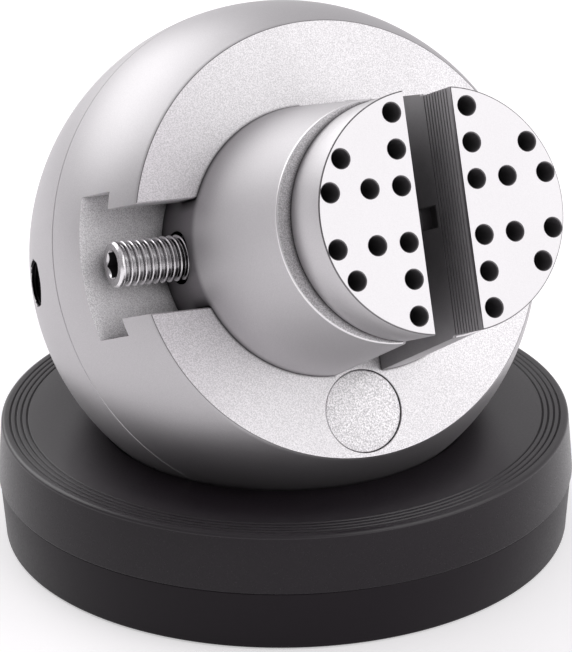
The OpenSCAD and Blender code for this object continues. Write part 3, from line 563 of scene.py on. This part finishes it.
# %% Making, running and ending a tree
def new_tree(name, numbers, others=()):
    """An empty geometry tree with named inputs: plain numbers first, then other kinds of socket."""
    tree = bpy.data.node_groups.new(name, "GeometryNodeTree")
    tree.interface.new_socket("Geometry", in_out="INPUT", socket_type="NodeSocketGeometry")
    for label in numbers:
        tree.interface.new_socket(label, in_out="INPUT", socket_type="NodeSocketFloat")
    for label, kind in others:
        tree.interface.new_socket(label, in_out="INPUT", socket_type=kind)
    tree.interface.new_socket("Geometry", in_out="OUTPUT", socket_type="NodeSocketGeometry")
    return tree


def grown(name, tree, values, stock=None):
    """Runs a tree on a piece (or on an empty one) and keeps the plain mesh that it makes."""
    piece = stock or placed(name, bpy.data.meshes.new(name))
    step = piece.modifiers.new(tree.name, "NODES")
    step.node_group = tree
    for socket in tree.interface.items_tree:
        if socket.in_out == "INPUT" and socket.name in values:
            step[socket.identifier] = values[socket.name]
    bake(piece)
    print(name, "from tree", tree.name, "with", len(piece.data.polygons), "faces")
    return piece


def ended(tree, shape, cutters, material):
    """Cuts meshes out of a shape and ends the tree with one real mesh: the export drops instances."""
    for cutter in cutters:
        pair = {"Mesh 1": shape, "Mesh 2": cutter}
        shape = add(tree, "GeometryNodeMeshBoolean", pair, operation="DIFFERENCE", solver="EXACT")
    real = add(tree, "GeometryNodeRealizeInstances", {"Geometry": shape})
    dressed = add(tree, "GeometryNodeSetMaterial", {"Geometry": real, "Material": material})
    add(tree, "NodeGroupOutput", {0: dressed})
    print(tree.name, "has", len(tree.nodes), "nodes")

# %% Thread tree: along the bar
thread_numbers = ("Start", "End", "Pitch", "Crest", "Root", "Chamfer", "Collar", "Steps per pitch",
                  "Socket width", "Socket depth", "Socket turn")
thread_others = [("Around", "NodeSocketInt"), ("Finish", "NodeSocketMaterial")]
thread_tree = new_tree("threaded_bar", thread_numbers, thread_others)
tree = thread_tree
given = add(tree, "NodeGroupInput").outputs

# Each line of both tables is one Math node: the name of its result, its operation and what goes in.
# First come the rows of the grid, which run along the bar, and its columns, which run round it.
spot = add(tree, "GeometryNodeInputPosition")
place = add(tree, "ShaderNodeSeparateXYZ", {0: spot})
known = {"grid x": place.outputs[0], "grid y": place.outputs[1], **dict(given.items())}
sums_along = [
    ("step", "DIVIDE", "Pitch", "Steps per pitch"),
    ("rows", "SUBTRACT", "End", "Start"),
    ("rows", "ADD", "rows", "Pitch"),
    ("rows", "DIVIDE", "rows", "step"),
    ("rows", "CEIL", "rows"),
    ("rows", "ADD", "rows", 4.0),
    ("columns", "ADD", "Around", 1.0),
    ("last row", "SUBTRACT", "rows", 1.0),
    ("row", "ADD", "grid x", 0.5),
    ("row", "MULTIPLY", "row", "last row"),
    ("share", "ADD", "grid y", 0.5),
    # How far along the bar each point lies: its row, pushed on by its share of a turn, and held at both ends.
    ("climb", "MULTIPLY", "share", "Pitch"),
    ("first", "SUBTRACT", "Start", "Pitch"),
    ("first", "SUBTRACT", "first", "step"),
    ("along", "MULTIPLY_ADD", "row", "step", "first"),
    ("along", "ADD", "along", "climb"),
    ("along", "MAXIMUM", "along", "Start"),
    ("along", "MINIMUM", "along", "End"),
    # A wave of the phase, which is the same all along the thread.
    ("phase", "SUBTRACT", "along", "climb"),
    ("phase", "DIVIDE", "phase", "Pitch"),
    ("wave", "PINGPONG", "phase", 0.5),
]
for name, operation, *parts in sums_along:
    sides = {i: known.get(part, part) for i, part in enumerate(parts)}
    known[name] = add(tree, MATH, sides, operation=operation)
print(len(sums_along), "sums along the bar")

# %% Thread tree: round the bar, and the key socket
ridge = {0: known["wave"], 1: 0.2, 2: 0.46, 3: given["Root"], 4: given["Crest"]}
known["ridge"] = add(tree, "ShaderNodeMapRange", ridge, interpolation_type="SMOOTHSTEP")
sums_round = [
    # How far from the middle: the ridge, a plain collar and a chamfer at the outer end.
    ("left", "SUBTRACT", "End", "along"),
    ("bevel", "SUBTRACT", "Crest", "Chamfer"),
    ("bevel", "ADD", "bevel", "left"),
    ("collar", "LESS_THAN", "left", "Collar"),
    ("collar", "MULTIPLY", "collar", "Crest"),
    ("radius", "MAXIMUM", "ridge", "collar"),
    ("radius", "MINIMUM", "radius", "bevel"),
    # The first and the last row close the ends, so their radius is nothing.
    ("row left", "SUBTRACT", "last row", "row"),
    ("from end", "MINIMUM", "row", "row left"),
    ("inside", "GREATER_THAN", "from end", 0.5),
    ("radius", "MULTIPLY", "radius", "inside"),
    ("angle", "MULTIPLY", "share", -2 * math.pi),
    ("side y", "COSINE", "angle"),
    ("side y", "MULTIPLY", "side y", "radius"),
    ("side z", "SINE", "angle"),
    ("side z", "MULTIPLY", "side z", "radius"),
    # The key socket, and the cone that leads the key in.
    ("six r", "DIVIDE", "Socket width", 2 * math.cos(math.pi / 6)),
    ("six long", "MULTIPLY", "Socket depth", 2.0),
    ("lead r", "MULTIPLY", "six r", 1.01),
    ("wide r", "MULTIPLY", "lead r", 2.0),
    ("tip", "SUBTRACT", "End", "lead r"),
]
for name, operation, *parts in sums_round:
    sides = {i: known.get(part, part) for i, part in enumerate(parts)}
    known[name] = add(tree, MATH, sides, operation=operation)
counts = {"Size X": 1.0, "Size Y": 1.0, "Vertices X": known["rows"], "Vertices Y": known["columns"]}
grid = add(tree, "GeometryNodeMeshGrid", counts)
bent = add(tree, "ShaderNodeCombineXYZ", {0: known["along"], 1: known["side y"], 2: known["side z"]})
tube = add(tree, "GeometryNodeSetPosition", {"Geometry": grid, "Position": bent})
tube = add(tree, "GeometryNodeMergeByDistance", {"Geometry": tube, "Distance": 0.002})

# A six-sided bar cuts the key socket, and the cone takes off the corners at its mouth.
six = {"Vertices": 6, "Radius": known["six r"], "Depth": known["six long"]}
six = add(tree, "GeometryNodeMeshCylinder", six)
laid = add(tree, "ShaderNodeCombineXYZ", {0: given["Socket turn"], 1: math.pi / 2, 2: 0.0})
moved = add(tree, "ShaderNodeCombineXYZ", {0: given["End"]})
six = add(tree, "GeometryNodeTransform", {"Geometry": six, "Translation": moved, "Rotation": laid})
wide_r = known["wide r"]
cone = {"Vertices": 48, "Radius Top": wide_r, "Radius Bottom": 0.0, "Depth": wide_r}
cone = add(tree, "GeometryNodeMeshCone", cone)
tip = add(tree, "ShaderNodeCombineXYZ", {0: known["tip"]})
lying = {"Geometry": cone, "Translation": tip, "Rotation": (0.0, math.pi / 2, 0.0)}
cone = add(tree, "GeometryNodeTransform", lying)
ended(tree, tube, [six, cone], given["Finish"])

# %% [markdown]
# ## Leadscrew
# The leadscrew carries a left-hand thread on its right half and a right-hand thread on its left half, so one
# turn moves both jaws the same way apart. It is rolled from bright steel, with a key socket in each end.

# %% Leadscrew
SCREW_Z, SCREW_INSET, NECK_R, NECK_HALF = 26.2, 2, 4, 3.4
SOCKET_R = 4.0  # a little outside the corners of the key socket


def joined(name, parts):
    """Puts several meshes into one object without changing them."""
    shape = bmesh.new()
    for part in parts:
        shape.from_mesh(part.data)
        bpy.data.objects.remove(part)
    mesh = bpy.data.meshes.new(name)
    shape.to_mesh(mesh)
    shape.free()
    return placed(name, mesh)


def mirrored(piece):
    """Turns a piece into its mirror image along X."""
    piece.data.transform(MIRROR)
    piece.data.flip_normals()
    return piece


SCREW_END = math.sqrt(BALL_R ** 2 - SCREW_Z ** 2) - SCREW_INSET
screw_sizes = {"Start": 3.0, "End": SCREW_END, "Pitch": 1.9, "Crest": 5.85, "Root": 4.8, "Chamfer": 0.55,
               "Collar": 1.1, "Steps per pitch": 14.0, "Socket width": 6.35, "Socket depth": 9.0,
               "Socket turn": 0.0, "Around": 60, "Finish": rolled}
right_half = grown("leadscrew_right", thread_tree, screw_sizes)
left_half = mirrored(grown("leadscrew_left", thread_tree, screw_sizes))
neck_outline = [(0, -NECK_HALF), (NECK_R, -NECK_HALF), (NECK_R, NECK_HALF), (0, NECK_HALF)]
neck = lathe("leadscrew_neck", neck_outline, 48)
neck.data.transform(Matrix.Rotation(math.pi / 2, 4, "Y"))
leadscrew = joined("leadscrew_threaded", [right_half, left_half, neck])
leadscrew.data.transform(Matrix.Translation((0, 0, SCREW_Z)))


def socket_or_thread(face):
    """A rolled thread, dark walls in the key sockets as painted shade with a bright lead-in, and faced ends.
    """
    middle = face.center
    off = math.hypot(middle.y, middle.z - SCREW_Z)
    if abs(middle.x) > SCREW_END - 0.01:
        return 2
    if off < SOCKET_R and abs(middle.x) > 40:
        return 3 if 0.3 < abs(face.normal.x) < 0.9 else 1
    return 0


def thread_edges(middle):
    """Threads stay smooth; the edges of the end faces and the key sockets are sharp."""
    off = math.hypot(middle.y, middle.z - SCREW_Z)
    return 20 if abs(middle.x) > SCREW_END - 0.6 or off < SOCKET_R - 0.1 else 80


finish(leadscrew, HEAD, "screw", ["leadscrew"], [rolled, socket_black, faced, bright],
       socket_or_thread, thread_edges)

# %% [markdown]
# ## Brake hole and brake screw
# A set screw in the side of the lower half presses a bronze pad on the spindle. Its hole is tapped, and the
# first threads show at the mouth. The same thread tree makes the screw, and a slightly larger one, used as a
# cutter, taps the hole.

# %% Brake
BRAKE_Z, BRAKE_INSET, BRAKE_LONG, BRAKE_R, BRAKE_PITCH = SEAM - 17.0, 4.6, 16.0, 6.0, 1.0
brake_out = math.sqrt(BALL_R ** 2 - BRAKE_Z ** 2) - BRAKE_INSET
tap_sizes = {"Start": 0.0, "End": BALL_R + 2, "Pitch": BRAKE_PITCH, "Crest": 6.55, "Root": 6.1,
             "Chamfer": 0.1, "Collar": 0.0, "Steps per pitch": 6.0, "Socket width": 0.01,
             "Socket depth": 0.01, "Socket turn": 0.0, "Around": 48, "Finish": bore_black}
tap = mirrored(grown("brake_tap", thread_tree, tap_sizes))
tap.data.transform(Matrix.Translation((0, 0, BRAKE_Z)))
milled(lower_ball, [tap])


def lower_finish(face):
    """Satin outside, black oxide in the tapped hole as painted shade, plain satin in the hidden room inside.
    """
    middle = face.center
    off = math.hypot(middle.y, middle.z - BRAKE_Z)
    return 1 if middle.x < -20 and off < BRAKE_R + 0.6 and middle.length < BALL_R - 0.1 else 0


finish(lower_ball, HEAD, "ball", ["lower_ball"], [satin_ball, black_oxide], lower_finish)
brake_sizes = {"Start": brake_out - BRAKE_LONG, "End": brake_out, "Pitch": BRAKE_PITCH, "Crest": BRAKE_R,
               "Root": 5.5, "Chamfer": 0.8, "Collar": 0.0, "Steps per pitch": 8.0, "Socket width": 6.0,
               "Socket depth": 7.0, "Socket turn": 0.2, "Around": 48, "Finish": black_oxide}
brake_screw = mirrored(grown("brake_screw_threaded", thread_tree, brake_sizes))
brake_screw.data.transform(Matrix.Translation((0, 0, BRAKE_Z)))
finish(brake_screw, HEAD, "brake_adjuster", ["brake_screw"], [black_oxide],
       sharp=lambda middle: 50)

# %% [markdown]
# ## End cap
# The cap closes the nut chamber at the pole of the ball and follows its curve. It shows from below.

# %% End cap
CAP_R, CAP_RIM_LOW, CAP_RIM_HIGH, CAP_TOP = 18.93, -63.38, -63.1, -57.506
cap_outline = arc(BALL_R, -BALL_R, CAP_RIM_LOW, 10) + [(CAP_R, CAP_RIM_HIGH), (CAP_R, CAP_TOP), (0, CAP_TOP)]
end_cap = lathe("end_cap_turned", cap_outline, 192)
CAP_KEY_R, CAP_KEY_DEEP = 4.62, 4
hexagon = [(CAP_KEY_R * math.cos(a), CAP_KEY_R * math.sin(a)) for a in (math.pi * k / 3 for k in range(6))]
milled(end_cap, [prism("cap_key", hexagon, -BALL_R - 1, CAP_KEY_DEEP - BALL_R)])
finish(end_cap, HEAD, "ball", ["end_cap"], [satin_ball])

# %% [markdown]
# ## The upper half of the ball
# The head is turned as one solid and then milled: a T-slot right across, with a small chamfer where it meets
# the flat, and a round pocket for the plug. The ball keeps its satin finish, while the flat and the slot were
# blasted with glass beads after milling, so each face gets its finish from where it lies.

# %% Upper ball
LIP_Z, SPINDLE_TOP, SPINDLE_R, RACE_ROOF, RIM_EASE = 27.5, 14.5, 8, 13.5, 0.12
seam_high = SEAM + SEAM_GAP / 2
high_rim = math.sqrt(BALL_R ** 2 - seam_high ** 2)
upper_outline = [(0, SPINDLE_TOP), (SPINDLE_R, SPINDLE_TOP), (SPINDLE_R, seam_high), (RACE_IN, seam_high)]
upper_outline += [(RACE_IN, RACE_ROOF), (RACE_OUT, RACE_ROOF), (RACE_OUT, seam_high)]
upper_outline.append((high_rim - SEAM_EASE, seam_high))
upper_outline += arc(BALL_R, seam_high + SEAM_EASE, FLAT_Z - RIM_EASE, 36)
upper_outline += [(flat_rim - 0.1, FLAT_Z), (0, FLAT_Z)]
upper_ball = lathe("upper_ball_turned", upper_outline, 320)
mouth, foot, ease = 13.65, 18.05, 0.3
slot_outline = [(-foot, SLOT_Z), (foot, SLOT_Z), (foot, LIP_Z), (mouth, LIP_Z), (mouth, FLAT_Z - ease),
                (mouth + ease + 2, FLAT_Z + 2), (-mouth - ease - 2, FLAT_Z + 2), (-mouth, FLAT_Z - ease),
                (-mouth, LIP_Z), (-foot, LIP_Z)]
slot_cutter = prism("slot_cutter", slot_outline, -70, 70, "X")
PLUG_Y, PLUG_STEM_R, PLUG_STEP_Z, PLUG_ROOM, PLUG_LOW = -RACE_R, 4, 28.2, 0.15, 13.8
pocket_r, stem_r, over = PLUG_R + PLUG_ROOM, PLUG_STEM_R + PLUG_ROOM, FLAT_Z + 0.28
pocket_outline = [(0, PLUG_LOW + 0.2), (stem_r, PLUG_LOW + 0.2), (stem_r, PLUG_STEP_Z)]
pocket_outline += [(pocket_r, PLUG_STEP_Z), (pocket_r, FLAT_Z - RIM_EASE), (pocket_r + 0.4, over), (0, over)]
pocket = lathe("plug_pocket", pocket_outline, 96)
pocket.data.transform(Matrix.Translation((0, PLUG_Y, 0)))
milled(upper_ball, [slot_cutter, pocket])


def upper_finish(face):
    """Satin on the ball, blasted on the flat, coarser and lighter in the slot as painted light, and dark grey
    along the rim of the flat as a painted shade line.
    """
    middle = face.center
    if middle.length > BALL_R - 0.35 and middle.z < FLAT_Z - 0.13:
        return 0
    if math.hypot(middle.x, middle.y) > flat_rim - 0.15 and middle.z < FLAT_Z - 0.01:
        return 3
    return 1 if middle.z > FLAT_Z - 0.5 else 2


head_steels = [satin_ball, blasted, blasted_slot, edge_painted_shade]
finish(upper_ball, HEAD, "head", ["upper_ball"], head_steels, upper_finish)
plug_top = FLAT_Z - 0.4
plug_outline = [(0, PLUG_LOW), (PLUG_STEM_R, PLUG_LOW), (PLUG_STEM_R, PLUG_STEP_Z), (PLUG_R, PLUG_STEP_Z)]
plug_outline += [(PLUG_R, plug_top, 0.3), (0.9, plug_top, 0.2), (0, plug_top - 0.2)]
plug = lathe("loading_plug_turned", plug_outline, 128)
plug.data.transform(Matrix.Translation((0, PLUG_Y, 0)))
finish(plug, HEAD, "head", ["loading_plug"], [blasted_plug])

# %% [markdown]
# ## Jaws
# Each jaw is half a turned cone on a T-shaped foot that runs in the slot. The cone is turned whole and split
# by a block, the foot is a bar with rounded ends, and both are joined. Pockets take the yoke, the leadscrew
# and the key. Both jaws are drawn once, as seen from the gap outwards, and the left one is a mirror image.

# %% Jaws
JAW_R, FOOT_R, LEDGE_R, JAW_H, PLATE_T, LINER_T = 34.2, 35.1, 29.8, 41.65, 16.0, 0.8
LEDGE_Z = FLAT_Z + JAW_H
PLATE_Z = LEDGE_Z + PLATE_T
RIM_R, CLEAR = 0.6, 0.1
KEY_HALF, KEY_DEEP, KEY_LONG = 2.8, 9.2, 3.2
YOKE_HALF, YOKE_TOP, YOKE_DEEP = 13.9, 31.4, 3.45
BORE_R, TAPPED_R, TAPPED_FROM, JAW_DEEP = 7.3, 6.7, 24, 36


def jaw(name):
    """One jaw, with X as the distance from its gap face."""
    low, shelf = FLAT_Z + CLEAR, LIP_Z - CLEAR
    cone = lathe(name, [(0, low), (JAW_R, low), (LEDGE_R, LEDGE_Z, RIM_R), (0, LEDGE_Z)], 320)
    milled(cone, [block("split", (LINER_T, -50, 0), (60, 50, 120))], "INTERSECT")
    wide, narrow, neck_top = foot - CLEAR, mouth - CLEAR, FLAT_Z + 0.6
    tee = [(-wide, SLOT_Z + CLEAR), (wide, SLOT_Z + CLEAR), (wide, shelf), (narrow, shelf),
           (narrow, neck_top), (-narrow, neck_top), (-narrow, shelf), (-wide, shelf)]
    bar = prism("foot_bar", tee, 0, 40, "X")
    foot_outline = [(0, SLOT_Z), (FOOT_R, SLOT_Z), (JAW_R - 0.01, low), (JAW_R - 1.5, FLAT_Z + 1)]
    milled(bar, [lathe("foot_round", foot_outline + [(0, FLAT_Z + 1)], 320)], "INTERSECT")
    milled(cone, [bar], "UNION")
    bore_outline = [(0, -2), (BORE_R, -2), (BORE_R, TAPPED_FROM), (TAPPED_R, TAPPED_FROM)]
    bore = lathe("screw_bore", bore_outline + [(TAPPED_R, JAW_DEEP), (0, JAW_DEEP)], 64)
    bore.data.transform(Matrix.Translation((0, 0, SCREW_Z)) @ Matrix.Rotation(math.pi / 2, 4, "Y"))
    key = block("key_slot", (-1, -KEY_HALF, LEDGE_Z - KEY_DEEP), (KEY_LONG, KEY_HALF, LEDGE_Z + 1))
    yoke = block("yoke_room", (-1, -YOKE_HALF, 10), (YOKE_DEEP, YOKE_HALF, YOKE_TOP))
    return milled(cone, [bore, key, yoke])


def jaw_finish(face):
    """Satin outside, blasted on the ledge inside its rim, lighter on the rim as a painted highlight, and dark
    in the leadscrew's bore and the key as painted shade.
    """
    middle, normal = face.center, face.normal
    off = math.hypot(middle.y, middle.z - SCREW_Z)
    if off < BORE_R + 0.05 and middle.z < LIP_Z + 8 and abs(normal.x) < 0.5:
        return 1
    in_key = middle.x < KEY_LONG + 0.1 and abs(middle.y) < KEY_HALF + 0.1
    if in_key and LEDGE_Z - KEY_DEEP - 0.1 < middle.z < LEDGE_Z - 0.01:
        return 3
    if middle.z > LEDGE_Z - 0.02:
        return 2
    # The rim is lighter and glossier, a painted highlight.
    on_rim = middle.z > LEDGE_Z - RIM_R - 0.1 and math.hypot(middle.x, middle.y) > LEDGE_R - 1
    return 4 if on_rim else 0


jaw_steels = [satin_jaw, black_oxide, blasted_ledge, bore_black, rim_glossy_painted_highlight]
for side, matrix in JAWS.items():
    made = jaw(side + "_jaw_milled")
    finish(made, matrix, "jaw_" + side, [side + "_jaw"], jaw_steels, jaw_finish)

# %% [markdown]
# ## Pin plates
# A ground plate lies on each jaw. Its twelve holes take pins that hold odd shapes of work. The holes repeat,
# so a second tree drills them: one drill, with its countersink, stands on every mark, and all are cut out at
# once. Drilled walls are painted dark as shade, and a thin ring of countersink stays a lighter grey.

# %% Drilling tree
drill_tree = new_tree("drilled_holes", (), [("Marks", "NodeSocketObject"), ("Drill", "NodeSocketObject"),
                                            ("Finish", "NodeSocketMaterial")])
tree = drill_tree
given = add(tree, "NodeGroupInput").outputs
spots = add(tree, "GeometryNodeObjectInfo", {"Object": given["Marks"]})
drill = add(tree, "GeometryNodeObjectInfo", {"Object": given["Drill"]})
drills = add(tree, "GeometryNodeInstanceOnPoints",
             {"Points": spots.outputs["Geometry"], "Instance": drill.outputs["Geometry"]})
drills = add(tree, "GeometryNodeRealizeInstances", {"Geometry": drills})
ended(tree, given["Geometry"], [drills], given["Finish"])

# %% Pin plates
HOLE_R, HOLE_EASE = 2.3, 0.25
PLATE_R, PLATE_SHIFT, BROW = 29.5, 3.4, 1.2
hole_places = [(3.64, 6.75), (3.64, 15.55), (3.64, 24.35), (12.0, 6.75), (22.4, 6.75), (18.5, 14.5)]
marks = placed("hole_marks", bpy.data.meshes.new("hole_marks"))
marks.data.from_pydata([(x, y * way, 0) for x, y in hole_places for way in (-1, 1)], [], [])
drill_outline = [(0, LEDGE_Z - 1), (HOLE_R, LEDGE_Z - 1), (HOLE_R, PLATE_Z - HOLE_EASE)]
drill_outline += [(HOLE_R + HOLE_EASE * 2, PLATE_Z + HOLE_EASE), (0, PLATE_Z + HOLE_EASE)]
drill = lathe("pin_drill", drill_outline, 40)


def half_moon(inset, steps=96):
    """The outline of a plate: an arc whose centre lies inside the gap, closed by the straight gap face."""
    r = PLATE_R - inset
    edge = math.acos((PLATE_SHIFT + inset * 0.3) / r)
    angles = [-edge + 2 * edge * k / steps for k in range(steps + 1)]
    return [(r * math.cos(a) - PLATE_SHIFT, r * math.sin(a)) for a in angles]


def plate(name):
    """A plate with a rounded rim, with X as the distance from its gap face."""
    levels = [(0.25, LEDGE_Z), (0.0, LEDGE_Z + 0.25), (0.0, PLATE_Z - 0.3), (0.1, PLATE_Z - 0.12)]
    levels.append((0.3, PLATE_Z))
    rings = [half_moon(inset) for inset, height in levels]
    n = len(rings[0])
    vertices = [(x, y, levels[k][1]) for k, ring in enumerate(rings) for x, y in ring]
    faces = [tuple(range(n)), tuple(range(n * (len(levels) - 1), n * len(levels)))]
    for k in range(len(levels) - 1):
        low, high = k * n, (k + 1) * n
        faces += [(low + i, low + (i + 1) % n, high + (i + 1) % n, high + i) for i in range(n)]
    made = mesh_object(name, vertices, faces)
    milled(made, [block("liner_room", (-1, -40, LEDGE_Z - 1), (LINER_T, 40, PLATE_Z - BROW))])
    return grown(name, drill_tree, {"Marks": marks, "Drill": drill, "Finish": ground}, made)


def plate_finish(face):
    """Ground on top, satin on the side, dark grey along the broken edges as a painted shade line, painted
    shade inside the pin holes, and a black painted shadow line at the foot.
    """
    middle = face.center
    if middle.z > PLATE_Z - 0.01:
        return 0
    near = min(math.hypot(middle.x - x, abs(middle.y) - y) for x, y in hole_places)
    if near < HOLE_R + 0.01:
        return 1
    if middle.z > PLATE_Z - 0.29:
        return 3
    # The bevel at the foot of the plate is black, a painted shadow line.
    return 4 if LEDGE_Z + 0.01 < middle.z < LEDGE_Z + 0.24 else 2


def plate_edges(middle):
    """The ground top is flat up to its rim, and so is the underside."""
    return 32 if LEDGE_Z + 0.01 < middle.z < PLATE_Z - 0.01 else 8


plate_steels = [ground, bore_black, satin_side, edge_painted_shade, black_oxide]
for side, matrix in JAWS.items():
    made = plate(side + "_pin_plate_ground")
    finish(made, matrix, "jaw_" + side, [side + "_pin_plate"], plate_steels, plate_finish,
           plate_edges)

# %% [markdown]
# ## Liners
# A liner covers each gap face, made dark by painted shade in the gap. The one on the jaw is smooth, the one
# on the plate has nine fine grooves for a grip on flat work. They repeat at one spacing, so a third tree cuts
# a row of bars out of the liner.

# %% Groove tree and liners
groove_tree = new_tree("row_of_grooves", ("Count", "Spacing", "First", "Width", "Depth", "Length"),
                       [("Finish", "NodeSocketMaterial")])
tree = groove_tree
given = add(tree, "NodeGroupInput").outputs
start = add(tree, "ShaderNodeCombineXYZ", {0: 0.0, 1: 0.0, 2: given["First"]})
offset = add(tree, "ShaderNodeCombineXYZ", {0: 0.0, 1: 0.0, 2: given["Spacing"]})
row_of_bars = {"Count": given["Count"], "Start Location": start, "Offset": offset}
line = add(tree, "GeometryNodeMeshLine", row_of_bars, mode="OFFSET")
across = add(tree, MATH, {0: given["Depth"], 1: 2.0}, operation="MULTIPLY")
size = add(tree, "ShaderNodeCombineXYZ", {0: across, 1: given["Length"], 2: given["Width"]})
bar = add(tree, "GeometryNodeMeshCube", {"Size": size})
bars = add(tree, "GeometryNodeInstanceOnPoints", {"Points": line, "Instance": bar})
bars = add(tree, "GeometryNodeRealizeInstances", {"Geometry": bars})
ended(tree, given["Geometry"], [bars], given["Finish"])


def plate_liner(name):
    """The grooved liner of a plate."""
    y = math.sqrt(PLATE_R ** 2 - PLATE_SHIFT ** 2)
    y_back = math.sqrt(PLATE_R ** 2 - (PLATE_SHIFT + LINER_T) ** 2)
    outline = [(0, -y), (LINER_T, -y_back), (LINER_T, y_back), (0, y)]
    strip = prism(name, outline, LEDGE_Z, PLATE_Z - BROW)
    count = 9
    step = (PLATE_Z - BROW - LEDGE_Z) / (count + 1)
    sizes = {"Count": count, "Spacing": step, "First": LEDGE_Z + step, "Width": 0.5, "Depth": 0.3,
             "Length": 80.0, "Finish": liner_gap_painted_shade}
    return grown(name, groove_tree, sizes, strip)


def jaw_liner(name):
    """The smooth liner of a jaw, notched for the key."""
    slope = (JAW_R - LEDGE_R) / JAW_H
    rim = [(JAW_R, FLAT_Z + CLEAR), (LEDGE_R + slope * RIM_R, LEDGE_Z - RIM_R), (LEDGE_R - RIM_R, LEDGE_Z)]
    key_low = LEDGE_Z - KEY_DEEP
    notch = [(KEY_HALF, LEDGE_Z), (KEY_HALF, key_low), (-KEY_HALF, key_low), (-KEY_HALF, LEDGE_Z)]
    outline = rim + notch + [(-y, z) for y, z in reversed(rim)]
    return prism(name, outline, 0, LINER_T, "X")


for side, matrix in JAWS.items():
    grooved = plate_liner(side + "_plate_liner_grooved")
    finish(grooved, matrix, "jaw_" + side, [side + "_plate_liner"], [liner_gap_painted_shade])
    smooth = jaw_liner(side + "_jaw_liner_smooth")
    finish(smooth, matrix, "jaw_" + side, [side + "_jaw_liner"], [liner_gap_painted_shade])
bpy.data.objects.remove(marks)
bpy.data.objects.remove(drill)

# %% [markdown]
# ## Pieces inside
# The bearing, the spindle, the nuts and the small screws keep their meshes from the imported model. They only
# need their finish: races and balls of hard polished steel, a bronze cage, bush and nuts, and black screws.

# %% Finishes of the inner pieces
race_steel = steel("steel_race_hardened", "#BCBABC", "#AEACAE", 0.3, 0.28, 0.04, 4)
pearl_steel = steel("steel_bearing_polished", "#DAD8DA", "#D1CFD1", 0.3, 0.12, 0.02, 1)
inner = [
    (race_steel, "lower_race upper_race spindle"), (pearl_steel, "bearing_balls"), (bright, "yoke_screws"),
    (bronze, "bearing_cage spindle_bush seat_ring thrust_washer brake_pad left_screw_nut right_screw_nut"),
    (black_oxide, "preload_nut screw_yoke base_screws left_plate_screws right_plate_screws")]
for material, nodes in inner:
    for node in nodes.split():
        mesh = frame["nodes"][node].data
        mesh.materials.clear()
        mesh.materials.append(material)
    print(material.name, "on", nodes)
